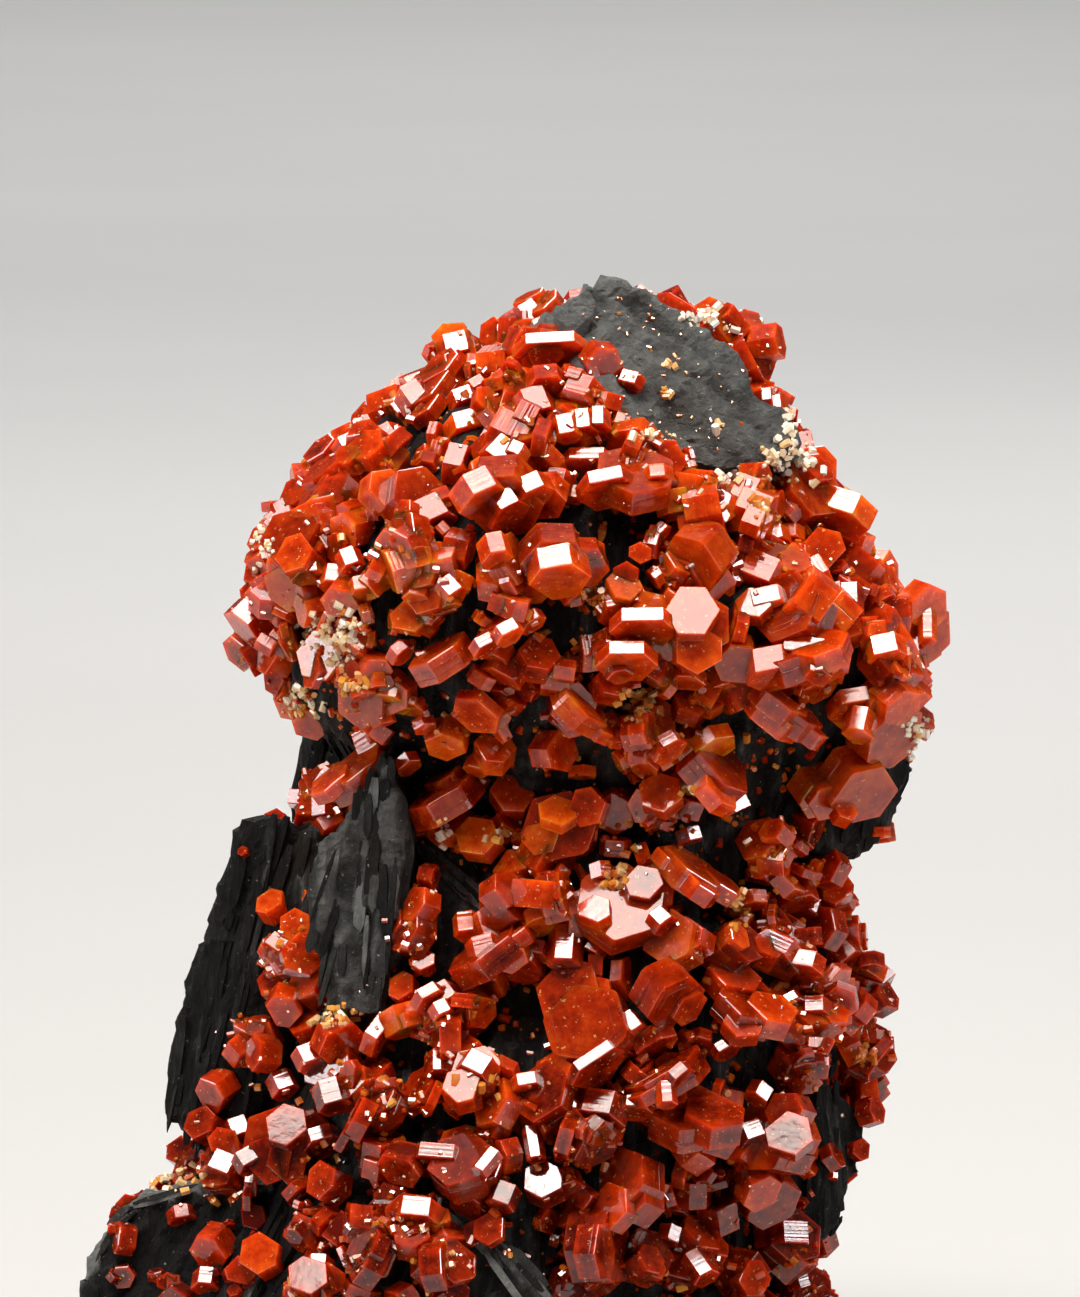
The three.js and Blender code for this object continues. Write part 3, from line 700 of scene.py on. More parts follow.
def ring_faces(rings, sides):
    """Quads between rings that run down the axis, and triangles to the middle of each end face."""
    faces = []
    last = (rings - 1) * sides
    first_end, last_end = rings * sides, rings * sides + 1
    for k in range(sides):
        after = (k + 1) % sides
        faces.append([first_end, k, after])
        faces.append([last_end, last + after, last + k])
        for ring in range(rings - 1):
            here, beside = ring * sides + k, ring * sides + after
            faces.append([here, here + sides, beside + sides, beside])
    return faces


print("faces of a small crystal of 5 rings:", len(ring_faces(5, 6)))


# %% Numbers for a crystal's points
def point_numbers(height, painted_glow_rims, sides):
    """The level and the rim number of every point of crystals made of rings: each ring's own value
    for its points, then the two end middles, whose rim is 0. The rim number paints a glow on thin edges.
    Levels start at a chance height."""
    n = len(height)
    start = 50 * random.random((n, 1))
    level = np.concatenate([np.repeat(height, sides, axis=1), height[:, [0, -1]]], axis=1) / MM + start
    painted_glow_rim = np.concatenate([np.repeat(np.array(painted_glow_rims), sides), [0, 0]])
    return {"level": level, "painted_glow_rim": np.tile(painted_glow_rim, (n, 1))}


# Below this height the crystals' colour gets a painted shade, deepest at the base.
PAINTED_SHADE_BELOW = 52 * MM


def painted_shade_low_down(heights):
    """Painted shade: 0 above the neck, rising evenly to 1 at the base, where it darkens the crystals."""
    return np.clip(1 - heights / PAINTED_SHADE_BELOW, 0, 1)


print("low down at 26 mm:", painted_shade_low_down(26 * MM))

# %% [markdown]
# ## Large crystals
# Each crystal from the CAD model gets its own slightly uneven hexagon, narrow bevels that catch the
# light, low terraces on its end faces, and fine grooves round its sides where growth paused. A corner
# can be cut a little too, so a ring has twelve sides: six faces and six corner cuts. These details
# are real geometry, because a bump in the material wouldn't change the outline.


# %% Shape of the large crystals
def twelve_sides(six, cut):
    """Six sides with each corner cut: the cut's distance is the corner's own less the cut's depth."""
    corner = (six + np.roll(six, -1, axis=-1)) / math.sqrt(3)
    return np.stack([six, corner - cut], axis=-1).reshape(*six.shape[:-1], 12)


def large_crystal_rings(half, depth):
    """Rings from one end's middle terrace, over its bevel, down the grooved sides, to the other end.
    Each row holds how far the sides stand in, the share of the corner cut, and the height."""
    n = len(half)
    six = half[:, None] * random.uniform(0.93, 1.05, (n, 6))
    cut = 0.02 * MM + 0.06 * half[:, None] * random.random((n, 6)) ** 3
    edge = random.uniform(0.03, 0.08, (n, 1)) * MM
    first = half[:, None] * random.uniform(0.08, 0.3, (n, 6))
    second = first + half[:, None] * random.uniform(0.1, 0.3, (n, 6))
    rise = random.uniform(-0.05, 0.06, n) * MM
    h = depth / 2
    none = np.zeros((n, 1))
    brim = 0.04 * MM
    rows = [(second, 0.5, h + 2 * rise), (second - brim, 0.5, h + rise)]
    rows += [(first, 0.7, h + rise), (first - brim, 0.7, h)]
    rows += [(edge, 1, h), (none, 1, h - edge[:, 0])]
    # Each ring's rim number sets how much painted edge glow it gets.
    painted_glow_rims = [0.2, 0.3, 0.35, 0.5, 1, 1]
    layers = np.sort(random.uniform(0.2, 0.8, (n, 2)), axis=1)
    groove = 0.10 * MM * random.random((n, 2)) ** 2
    for k in range(2):
        at = h - layers[:, k] * depth
        rows += [(none, 1, at + brim), (groove[:, k : k + 1], 1, at), (none, 1, at - brim)]
        painted_glow_rims += [0.2, 0.5, 0.2]
    rows += [(none, 1, edge[:, 0] - h), (edge, 1, -h)]
    painted_glow_rims += [1, 1]
    reach = np.stack([twelve_sides(six - row[0], cut * row[1]) for row in rows], axis=1)
    return reach, np.stack([row[2] for row in rows], axis=1), painted_glow_rims


# %% Build the large crystals
tops, axes, sides = (np.array([one[key] for one in large]) for key in ("top", "axis", "side"))
halves, depths = (np.array([one[key] for one in large]) for key in ("half", "depth"))
shown_depths = np.maximum(depths, 0.6 * halves)
reach, height, painted_glow_rims = large_crystal_rings(halves, shown_depths)
numbers = point_numbers(height, painted_glow_rims, 12)
points = ring_points(tops - axes * shown_depths[:, None] / 2, axes, sides, reach, height)
# The tone is random, less a painted shade that darkens the crystals low down.
tones = random.uniform(0.3, 0.9, len(large)) - 0.7 * painted_shade_low_down(points[:, :, 2].mean(axis=1))
faces = ring_faces(len(painted_glow_rims), 12)
large_mesh = mesh_of_copies("large_crystals", points, faces, tone=tones, **numbers)
large_piece = show("large_crystals", large_mesh, large_material)
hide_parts(*[name for name in frame["nodes"] if name.startswith("crystals_")])

# %% [markdown]
# ## Where the small crystals stand
# The small crystals have to be rooted in what is already there. Blender can scatter objects on a
# surface by Geometry Nodes, but here some crystals stand in known places of the picture, so their
# seats are found by rays. A search tree of triangles answers two questions quickly: where a line
# meets the surface, and how far a place is from it.


# %% Search trees
def triangles_of(mesh):
    """A mesh's points and its triangles, as two arrays."""
    mesh.calc_loop_triangles()
    corners = np.empty(len(mesh.loop_triangles) * 3, dtype=np.int32)
    mesh.loop_triangles.foreach_get("vertices", corners)
    return read_points(mesh), corners.reshape(-1, 3)


def tree_of(*nodes):
    """A search tree of the surfaces of some CAD nodes."""
    points, faces = [], []
    for node in nodes:
        corners, triples = triangles_of(frame["nodes"][node].data)
        faces += (triples + len(points)).tolist()
        points += corners.tolist()
    return BVHTree.FromPolygons(points, faces)


def finished_tree(piece):
    """A search tree of a finished piece."""
    bpy.context.view_layer.update()
    return BVHTree.FromObject(piece, bpy.context.evaluated_depsgraph_get())


finished_rock = finished_tree(rock)
rock_tree = tree_of("matrix")
crust_tree = tree_of("druse_head", "druse_trunk")
whole_tree = tree_of(*frame["nodes"])


def distances(spots, tree):
    """How far each spot is from a surface."""
    return np.array([tree.find_nearest(Vector(spot))[3] for spot in spots])


print("the middle of the base is", distances([[0, 0, 0]], crust_tree).round(4), "m from the crust")


# %% Seats in the picture and on the rock
def seats(x, h, trees=(whole_tree, finished_rock)):
    """The points where lines of sight through places in the picture first meet a surface, or the
    nearest point of the first surface to the middle of a line that meets none."""
    found = []
    for way in sight(x[:, None], h[:, None]):
        hits = [tree.ray_cast(Vector(eye), Vector(way)) for tree in trees]
        hits = [hit for hit in hits if hit[0] is not None]
        if hits:
            found.append(min(hits, key=lambda hit: hit[3])[0])
        else:
            found.append(trees[0].find_nearest(Vector(eye + way * away))[0])
    return np.array(found)


def onto_rock(spots, out):
    """Spots of the CAD rock moved along their normals onto the finished rock."""
    moved = spots.copy()
    for k, (spot, way) in enumerate(zip(spots, out)):
        hit = finished_rock.ray_cast(Vector(spot + way * 4 * MM), Vector(-way), 8 * MM)[0]
        if hit is not None:
            moved[k] = hit
    return moved


print("the surface in the middle of the picture:", seats(*np.array([[0.0], [45.0]])).round(4))

# %% [markdown]
# ## Crystals that flash
# A flat face mirrors a lamp to the camera when it is square to the line half way between the two.
# The specimen is known by its pattern of such flashes. Turning crystals until they flash would take
# many tries by hand, so each row only says where a flash is and how large, and the half-way line
# gives the turn. Each row is x, h, the flashing side face's length and height in millimetres, and its
# turn in degrees. Faces under an overhang don't see the key lamp, and flash to a side lamp.

# %% Lamps and flashes
KEY_LAMP = np.array([-0.1, -0.36, 0.85])
LEFT_LAMP = np.array([-0.85, -0.35, 0.45])
RIGHT_LAMP = np.array([0.85, -0.3, 0.5])
MIDDLE = np.array([0, 0, 0.05])
half_way = unit(unit(KEY_LAMP - MIDDLE) + back)
FLASHES = np.array(
    [
        [-1.9, 89.0, 1.5, 1.2, 5], [-5.1, 86.5, 2.2, 1.7, 12], [2.8, 87.0, 3.6, 0.9, 2],
        [8.8, 83.7, 1.2, 1.0, -20], [-8.5, 82.5, 1.7, 1.9, 30], [-4.5, 82.3, 1.3, 1.2, 20],
        [-4.1, 80.3, 2.0, 1.4, 15], [3.7, 80.0, 1.2, 1.6, 10], [5.1, 80.4, 1.2, 1.6, 5],
        [6.4, 80.6, 1.0, 1.5, 0], [2.7, 78.9, 2.2, 0.9, 35], [-13.4, 78.6, 1.5, 1.5, 25],
        [-10.6, 79.4, 1.4, 1.1, 30], [-3.1, 75.4, 2.3, 1.8, 28], [-1.3, 74.0, 1.9, 1.7, 30],
        [1.1, 75.4, 1.6, 1.4, 24], [5.6, 77.7, 2.4, 1.0, 0], [6.9, 75.9, 2.6, 1.1, 10],
        [11.0, 76.2, 1.3, 1.0, 4], [-17.0, 68.9, 1.4, 1.7, 10], [-14.7, 68.1, 1.6, 1.4, -10],
        [-13.5, 69.4, 1.2, 1.4, 20], [-12.8, 67.2, 1.2, 1.2, 8], [-20.5, 65.9, 1.4, 2.4, 14],
        [-1.9, 70.4, 1.3, 1.8, 12], [3.0, 69.3, 2.6, 1.9, 8], [5.5, 69.9, 1.3, 1.7, 6],
        [8.3, 66.5, 2.5, 1.9, 10], [9.9, 64.8, 2.7, 1.1, 0], [8.7, 62.2, 2.7, 1.1, 0],
        [-2.7, 62.7, 1.4, 0.9, 30], [-0.9, 63.7, 1.3, 1.0, 30], [0.8, 64.5, 1.2, 0.9, 30],
        [-2.2, 57.4, 2.1, 1.0, -30], [13.5, 60.2, 1.5, 1.0, -6], [8.0, 60.6, 1.2, 1.0, 10],
        [11.8, 54.7, 1.6, 1.0, 30], [10.8, 53.1, 1.4, 1.2, -30], [12.6, 53.4, 1.3, 1.0, 40],
        [25.6, 74.0, 2.8, 1.7, -24], [23.4, 79.6, 1.2, 1.4, -10], [20.5, 71.3, 1.3, 1.2, 10],
        [19.5, 68.5, 2.6, 2.1, -24], [19.8, 66.2, 2.9, 1.4, 10], [26.4, 66.2, 1.1, 2.4, 0],
        [29.2, 62.4, 1.6, 1.6, 10], [26.5, 63.6, 1.2, 1.3, 20], [32.6, 64.0, 0.8, 2.6, 0],
        [19.9, 61.3, 2.4, 1.9, 6], [22.5, 62.5, 3.0, 1.3, -14], [23.8, 60.6, 1.2, 1.0, 0],
        [26.9, 58.4, 2.3, 1.2, 10], [27.2, 56.4, 1.5, 1.9, -12], [31.2, 58.0, 1.1, 1.5, 0],
        [14.5, 54.6, 2.1, 1.2, 28], [-12.6, 54.6, 1.9, 2.0, 20], [-15.6, 51.6, 1.6, 1.6, -40],
        [-16.0, 49.8, 1.2, 2.2, 0], [-15.0, 48.4, 1.6, 1.2, 30], [-19.3, 49.8, 2.3, 1.1, -10],
        [-9.5, 52.9, 1.2, 0.9, 28], [23.5, 41.6, 1.4, 1.2, -20], [19.2, 42.2, 1.5, 1.0, 10],
        [3.7, 38.5, 1.5, 2.8, -4], [-2.8, 38.2, 1.4, 1.8, 14], [1.2, 40.7, 1.7, 1.1, 20],
        [-4.3, 40.2, 1.1, 1.7, 4], [11.3, 40.7, 1.3, 1.3, 40], [20.6, 38.6, 2.2, 1.5, -30],
        [22.4, 37.4, 2.0, 1.3, -14], [23.6, 33.7, 1.4, 1.3, 0], [8.9, 32.3, 1.2, 1.6, 36],
        [5.9, 29.5, 2.6, 0.9, 34], [-6.2, 29.2, 1.6, 1.8, 0], [-3.4, 29.0, 1.8, 1.6, -30],
        [9.2, 25.8, 1.5, 0.9, -6], [11.8, 26.6, 0.9, 1.7, 4], [12.6, 28.2, 1.2, 0.9, 40],
        [18.8, 23.6, 1.4, 1.4, 20], [19.7, 26.6, 1.2, 1.2, -30], [-6.6, 22.0, 2.9, 1.1, -8],
        [-2.6, 21.2, 0.9, 2.0, -36], [-16.6, 29.8, 1.5, 1.5, 24], [-23.7, 21.0, 2.0, 1.6, -26],
        [-21.8, 21.5, 1.3, 1.3, 30], [-22.4, 23.9, 1.2, 1.5, 20], [-15.7, 23.3, 1.9, 1.1, 16],
        [3.7, 19.8, 1.6, 1.4, 20], [-1.2, 18.5, 1.3, 1.7, -20], [4.9, 18.0, 1.1, 1.4, 50],
        [22.0, 15.3, 2.6, 1.6, 4], [22.8, 11.6, 1.2, 1.3, 20], [-8.2, 17.4, 2.2, 1.5, -8],
        [-16.0, 13.2, 1.3, 0.9, -4], [-15.9, 11.5, 1.4, 1.3, -30], [-15.0, 26.7, 1.5, 2.0, 14],
        [-12.7, 26.3, 0.9, 1.2, 10], [-17.6, 37.4, 1.6, 1.5, -20], [-16.2, 36.8, 1.6, 1.0, 24],
        [-18.1, 34.6, 1.2, 1.5, 4], [-16.0, 34.8, 1.6, 1.3, 0], [-19.0, 27.6, 1.2, 1.6, 22],
        [-27.0, 17.0, 1.2, 1.0, 10], [14.4, 13.0, 1.2, 2.2, 30], [12.5, 15.2, 1.0, 1.2, -16],
        [0.6, 27.6, 1.4, 1.0, 10], [1.2, 22.6, 0.8, 2.6, 8], [16.4, 30.4, 1.2, 0.8, 30],
        [14.0, 47.2, 1.2, 1.0, 20], [6.0, 44.2, 1.0, 1.2, 10], [22.6, 47.0, 1.2, 0.9, -10],
        [17.8, 49.6, 1.4, 1.0, 30], [4.6, 52.2, 1.2, 0.8, 0], [-3.4, 53.0, 1.2, 1.0, -20],
        [-8.0, 56.0, 1.0, 0.8, 20], [-9.6, 62.0, 1.2, 0.9, 40],
    ]
)
print("crystals that flash:", len(FLASHES))


# %% Turn crystals to their flash
def open_lamp(spots):
    """The half-way direction of the first lamp that each spot can see past the overhangs."""
    facing = np.tile(half_way, (len(spots), 1))
    for k, spot in enumerate(spots):
        for lamp in (KEY_LAMP, LEFT_LAMP, RIGHT_LAMP):
            way = unit(lamp - spot)
            if whole_tree.ray_cast(Vector(spot + way * 2.5 * MM), Vector(way))[0] is None:
                facing[k] = unit(way + back)
                break
    return facing


def flashing_crystals(rows):
    """Tablets whose side face is square to the half-way line. The face's own plane has a level
    direction and a rising one; the turn mixes them into the face's length and the crystal's axis.
    Like all groups of crystals below, it is centre, axis, side, width and thickness."""
    x, h, length, height, turn = rows.T
    n = len(rows)
    seat = seats(x, h) + back * 1.3 * MM
    face = unit(open_lamp(seat) + 0.045 * random.normal(size=(n, 3)))
    level = unit(right - (face @ right)[:, None] * face)
    rising = np.cross(face, level)
    turn = np.radians(turn)[:, None]
    axis = np.cos(turn) * rising - np.sin(turn) * level
    centre = seat - face * (length * 0.866 * MM)[:, None]
    return centre, axis, face, 2 * length * MM, 1.12 * height * MM


flashing = flashing_crystals(FLASHES)
print("widest flashing crystal, in mm:", (flashing[3].max() / MM).round(1))

# %% [markdown]
# ## Crystals placed one by one
# Some small crystals stand alone on bare rock, or make up known rows and edges. Chance would never put
# them there, so they are listed. Each row gives x, h, width, thickness, yaw, pitch and spin, as in the
# CAD model.

# %% Placed crystals
PLACED = np.array(
    [
        [17.4, 88.0, 3.0, 2.2, 14, 46, 6], [19.8, 86.4, 3.4, 2.4, 74, 10, 11],
        [15.6, 89.0, 2.0, 1.4, -20, 30, 3], [21.4, 81.6, 3.0, 2.0, 40, 30, 11],
        [6.4, 84.8, 3.4, 1.9, 20, -16, 24], [-3.0, 88.6, 2.8, 1.8, -30, 30, 10],
        [-1.0, 89.6, 2.4, 1.6, 10, 34, 4], [2.6, 90.0, 2.2, 1.4, -40, 40, 22],
        [-11.3, 80.8, 3.6, 1.9, -40, 44, 7], [-15.4, 77.2, 3.4, 2.2, -66, 48, 16],
        [-17.4, 74.0, 3.2, 2.0, -48, 36, 9], [-22.0, 69.4, 3.4, 1.7, -74, 52, 4],
        [-22.4, 66.2, 3.0, 2.0, -24, 6, 13], [-14.0, 66.0, 3.4, 2.0, -26, -26, 17],
        [-20.1, 59.9, 3.4, 2.0, -60, 4, 20], [-18.9, 57.2, 3.8, 2.0, -56, -8, 29],
        [-16.6, 56.2, 3.2, 1.8, -8, -24, 12], [8.4, 66.4, 3.2, 2.2, 10, 42, 15],
        [1.5, 61.0, 3.4, 2.2, 14, 40, 16], [7.5, 59.2, 3.6, 2.2, 22, 28, 13],
        [24.2, 69.8, 3.6, 2.4, 14, 20, 14], [-5.6, 54.8, 3.6, 2.2, -14, -42, 2],
        [-2.0, 53.6, 3.4, 2.0, 6, 42, 22], [2.8, 53.8, 3.8, 2.2, 44, 2, 17],
        [-0.6, 50.0, 3.8, 2.2, 4, 30, 28], [7.7, 49.2, 3.8, 2.2, -6, -16, 1],
        [-3.0, 46.6, 3.8, 2.0, -20, 30, 24], [-19.6, 41.2, 2.6, 1.8, -34, 44, 21],
        [-17.6, 39.4, 3.2, 2.0, -20, 26, 8], [-17.4, 37.2, 3.6, 2.2, 6, 20, 12],
        [-16.6, 35.0, 3.6, 2.2, -36, 34, 4], [-18.6, 33.4, 3.2, 2.0, -10, -28, 20],
        [-16.8, 31.6, 3.4, 2.0, -50, 48, 2], [-20.4, 29.6, 3.2, 2.0, -64, 10, 9],
        [-24.0, 26.6, 3.4, 2.2, -44, -22, 18], [-25.0, 23.6, 3.2, 2.2, -40, 26, 0],
        [-26.8, 21.4, 2.8, 1.8, -30, 30, 12], [-28.6, 20.4, 2.4, 1.6, -20, 48, 5],
        [-30.2, 19.6, 2.2, 1.4, -50, 36, 25], [-31.8, 18.6, 2.0, 1.2, 4, 24, 16],
        [-33.0, 17.4, 1.8, 1.0, -60, 20, 2], [-24.2, 14.0, 3.6, 2.4, -30, -24, 23],
        [-20.4, 13.2, 4.0, 2.2, -22, 28, 3], [-22.4, 12.0, 2.6, 1.8, 10, 18, 13],
        [-16.6, 11.4, 3.6, 2.2, -16, 34, 13], [-28.0, 11.2, 1.8, 1.2, -20, 10, 7],
        [-15.2, 19.0, 3.6, 2.2, -50, 24, 16], [-9.2, 20.7, 3.8, 2.2, -30, -30, 20],
        [2.2, 19.0, 3.8, 2.2, -10, 36, 3], [6.2, 40.8, 3.0, 1.4, -10, 40, 8],
        [-22.0, 45.6, 0.9, 0.7, -30, 30, 14], [-22.8, 71.0, 3.0, 1.6, -60, 30, 8],
        [-22.6, 67.8, 2.8, 1.8, -30, 44, 15], [-19.8, 57.4, 2.8, 1.6, -70, 20, 9],
        [-20.6, 50.2, 2.6, 1.6, -50, 50, 12], [-30.4, 20.0, 2.2, 1.4, -30, 50, 7],
        [24.0, 79.8, 2.4, 1.6, 50, 30, 21], [17.4, 89.2, 2.4, 1.5, 30, 40, 4],
        [28.6, 24.8, 2.6, 1.6, 60, 20, 17], [30.8, 49.8, 2.4, 1.4, 40, 44, 9],
        [11.4, 50.0, 3.8, 1.6, -9, 31, 12], [13.8, 64.6, 4.6, 1.4, 2, 30, 29],
        [-18.6, 23.6, 3.8, 1.4, -11, 31, 14], [21.6, 22.8, 4.0, 1.6, -1, 30, 11],
        [25.4, 42.4, 2.8, 1.4, 1, 31, 5], [17.6, 88.3, 3.0, 1.4, -9, 32, 10],
        [18.9, 65.2, 3.0, 1.8, -12, 34, 20], [3.2, 48.6, 3.4, 1.4, 1, 42, 6],
        [9.9, 43.0, 3.2, 1.4, 2, 31, 18], [-9.2, 34.6, 2.6, 1.8, -20, 30, 8],
        [26.0, 48.6, 2.2, 1.4, 30, 38, 3], [30.4, 33.0, 3.0, 1.8, 60, 30, 12],
    ]
)


def placed_crystals(rows):
    """Tablets at their yaw and pitch. Yaw 0 and pitch 0 turn the end face to the front."""
    x, h, width, thick = rows[:, :4].T
    yaw, pitch, spin = np.radians(rows[:, 4:]).T
    axis = np.stack([np.sin(yaw) * np.cos(pitch), -np.cos(yaw) * np.cos(pitch), np.sin(pitch)], axis=1)
    level = unit(np.cross(axis, [0.0, 0.0, 1.0]))
    side = np.cos(spin)[:, None] * level + np.sin(spin)[:, None] * np.cross(axis, level)
    centre = seats(x, h) + back * (0.14 * width * MM)[:, None]
    return centre, axis, side, width * MM, thick * MM


def joined(*groups):
    """Groups of crystals put end to end."""
    return tuple(np.concatenate(parts) for parts in zip(*groups))


by_hand = joined(flashing, placed_crystals(PLACED))
print("crystals placed by hand:", len(PLACED))

# %% [markdown]
# ## Crystals on crystals
# Vanadinite grows in parallel groups: a crystal carries smaller ones on its sides, turned nearly the
# same way. Copying a whole group would show as a repeat, so each one gets a smaller neighbour by
# chance. The large crystals get up to three.


# %% Smaller crystals on the sides of others
def side_crystals(centre, axis, side, width, thick, share):
    """A share of the crystals get a smaller one, moved outwards by 0.22 to 0.5 of the width and
    tilted a little: 0.02 for most of them, and 0.3 for the others."""
    pick = random.random(len(width)) < share
    centre, axis, side, width, thick = (one[pick] for one in (centre, axis, side, width, thick))
    n = len(width)
    turn = random.uniform(0, 2 * math.pi, (n, 1))
    outward = np.cos(turn) * side + np.sin(turn) * np.cross(axis, side)
    shift = outward * (width * random.uniform(0.22, 0.5, n))[:, None]
    rise = axis * (thick * random.uniform(-0.4, 0.4, n))[:, None]
    tilt = random.choice([0.02, 0.3], n, p=[0.7, 0.3])[:, None]
    new_axis = unit(axis + tilt * random.normal(size=(n, 3)))
    new_side = unit(side - np.sum(side * new_axis, axis=1, keepdims=True) * new_axis)
    width = width * random.uniform(0.5, 0.85, n)
    return centre + shift + rise, new_axis, new_side, width, thick * random.uniform(0.5, 0.95, n)


HALF_PER_WIDTH = 0.433
big = (tops - axes * depths[:, None] / 2, axes, sides, halves / HALF_PER_WIDTH, depths)
on_big = joined(side_crystals(*big, 0.9), side_crystals(*big, 0.6), side_crystals(*big, 0.4))
print("crystals on the large ones:", len(on_big[0]))

# %% [markdown]
# ## Crystals on bare rock
# A few small tablets stand on bare rock, at the neck and low down. A fair way to scatter them is by
# area: a face is drawn with a chance that grows with its area, and then a point on it.


# %% Chance points on a surface
def surface_points(node, count, other, least):
    """Chance points on a node's faces, drawn by area, with the face normals. Only faces whose
    middle is farther than the least distance from the other surface take part. A point is the first
    corner plus u and v times the two edges from it, with u + v folded back under 1."""
    corners, triples = triangles_of(frame["nodes"][node].data)
    a, b, c = corners[triples[:, 0]], corners[triples[:, 1]], corners[triples[:, 2]]
    area_normal = np.cross(b - a, c - a)
    area = np.linalg.norm(area_normal, axis=1)
    area = area * (distances((a + b + c) / 3, other) > least)
    pick = random.choice(len(area), count, p=area / area.sum())
    u, v = random.random((2, count, 1))
    fold = u + v > 1
    u, v = np.where(fold, 1 - u, u), np.where(fold, 1 - v, v)
    return a[pick] + u * (b - a)[pick] + v * (c - a)[pick], unit(area_normal[pick])


def scattered_crystals(tries):
    """A few small tablets on bare rock at the neck and low on the right, off the tall blades, where
    a noise is high."""
    spots, out = surface_points("matrix", tries, crust_tree, 0.9 * MM)
    x, _, z = (spots / MM).T
    home = ((z > 43) & (z < 60) & (x > -8)) | ((x > 14) & (z < 30))
    home |= ((z > 19) & (z < 24) & (x < -20)) | ((z < 18) & (x < -14))
    chosen = home & (smooth_noise(spots / MM / 3, 27) > 0.42) & (z > 2.5)
    spots, out = spots[chosen], out[chosen]
    n = len(spots)
    width = np.clip(random.lognormal(math.log(1.7), 0.4, n), 0.8, 3.4) * MM
    axis = unit(out * 0.3 + unit(random.normal(size=(n, 3))))
    side = unit(np.cross(axis, random.normal(size=(n, 3))))
    centre = onto_rock(spots, out) + out * 0.2 * MM
    return centre, axis, side, width, width * random.uniform(0.4, 0.75, n)


on_rock = scattered_crystals(1100)
print("crystals on bare rock:", len(on_rock[0]))

# %% [markdown]
# ## Splinters on the rock
# The blades split into thin splinters that lie along them. The net of the rock is too coarse for
# these, and a finer one would be far too heavy. So each splinter is a piece of its own: a flat
# four-sided bar, thinner at its ends, laid on the finished rock where the crust leaves it bare. The
# pale shards and the foot plate's crest get bundles of bars, from one place in the picture to
# another: each row is x, h, x, h and the bundle's width.

# %% Bundles of pale bars
BARS = np.array(
    [
        [-5.4, 17.4, -1.2, 13.2, 1.8], [-2.2, 14.2, 2.2, 9.2, 2.4], [-8.0, 46.4, -2.8, 41.4, 1.5],
        [-34.0, 12.6, -32.6, 15.6, 0.9], [-32.8, 15.4, -30.4, 17.4, 1.0],
        [-30.8, 17.3, -25.4, 18.9, 0.8],
    ]
)


def pale_bars(rows, share):
    """Bars side by side along each row's line, a little in front of the rock. Share is how many
    each row gives. Like all bars, they are middle, axis, side, length, width and thickness."""
    rows = np.repeat(rows, share, axis=0)
    n = len(rows)
    ends = [seats(rows[:, k], rows[:, k + 1], (finished_rock,)) for k in (0, 2)]
    step = ends[1] - ends[0]
    long = np.linalg.norm(step, axis=1)
    axis = unit(step + 0.05 * long[:, None] * random.normal(size=(n, 3)))
    side = unit(back - (axis @ back)[:, None] * axis)
    wide = rows[:, 4] * MM
    shift = np.cross(axis, side) * (wide * random.uniform(-0.45, 0.45, n))[:, None]
    middle = (ends[0] + ends[1]) / 2 + shift + side * random.uniform(0.1, 0.6, (n, 1)) * MM
    long = long * random.uniform(0.5, 1.05, n)
    return middle, axis, side, long, wide * random.uniform(0.1, 0.28, n), wide * random.uniform(0.08, 0.2, n)


# %% Splinters by chance
def chance_splinters(count):
    """Bars along the fibres of bare rock. Each one's axis is the fibre direction less its part along
    the surface's normal. A bar whose ends would stand off the rock is made shorter."""
    spots, out = surface_points("matrix", count, crust_tree, 0.9 * MM)
    x, _, z = (spots / MM).T
    smooth = (z > 74) | ((z < 21) & (x < -22)) | (z < 3)
    upright = (np.abs(out[:, 2]) < 0.6) & (np.abs(out[:, 0]) < 0.8)
    keep = (distances(spots, crust_tree) > 0.8 * MM) & ~smooth & upright
    spots, out = onto_rock(spots[keep], out[keep]), out[keep]
    n = len(spots)
    fibre = np.stack([lean_of(spots), np.zeros(n), np.ones(n)], axis=1)
    fibre += 0.06 * random.normal(size=(n, 3))
    axis = unit(fibre - np.sum(fibre * out, axis=1, keepdims=True) * out + 0.03 * out)
    side = unit(out - np.sum(out * axis, axis=1, keepdims=True) * axis)
    long = np.clip(random.lognormal(math.log(5), 0.5, n), 1.8, 12) * MM
    step = axis * 0.5 * long[:, None]
    off = distances(spots + step, finished_rock) + distances(spots - step, finished_rock)
    long = np.where(off > 1.5 * MM, 0.35 * long, long)
    wide = random.uniform(0.12, 0.5, n) * MM
    return spots, axis, side, long, wide, random.uniform(0.08, 0.3, n) * MM


def bar_points(middle, axis, side, long, wide, thick):
    """Rings of four sides, half a thickness and half a width from the axis, narrower at the ends."""
    n = len(middle)
    section = np.stack([thick, wide, thick, wide], axis=1)
    ends = random.uniform(0.1, 0.6, n), random.uniform(0.1, 0.6, n)
    taper = np.stack([ends[0], np.ones(n), np.ones(n), ends[1]], axis=1)
    height = long[:, None] * np.array([0.5, 0.3, -0.3, -0.5])
    return ring_points(middle, axis, side, section[:, None] * taper[:, :, None], height)


# %% Build the splinters
along_blades = chance_splinters(1600)
# The ridge number of each splinter and pale bar is a painted sheen.
ridge = 0.3 + 0.7 * random.random(len(along_blades[0])) ** 2
pale = pale_bars(BARS, 9)
ridge = np.concatenate([ridge, random.uniform(0.45, 1.05, len(pale[0]))])
polish = np.concatenate([0.5 * polish_of(along_blades[0]), np.full(len(pale[0]), 0.4)])
bars = bar_points(*joined(along_blades, pale))
splinter_mesh = mesh_of_copies("splinters", bars, ring_faces(4, 4), ridge=ridge, polish=polish)
splinters = show("splinters", splinter_mesh, rock_look)

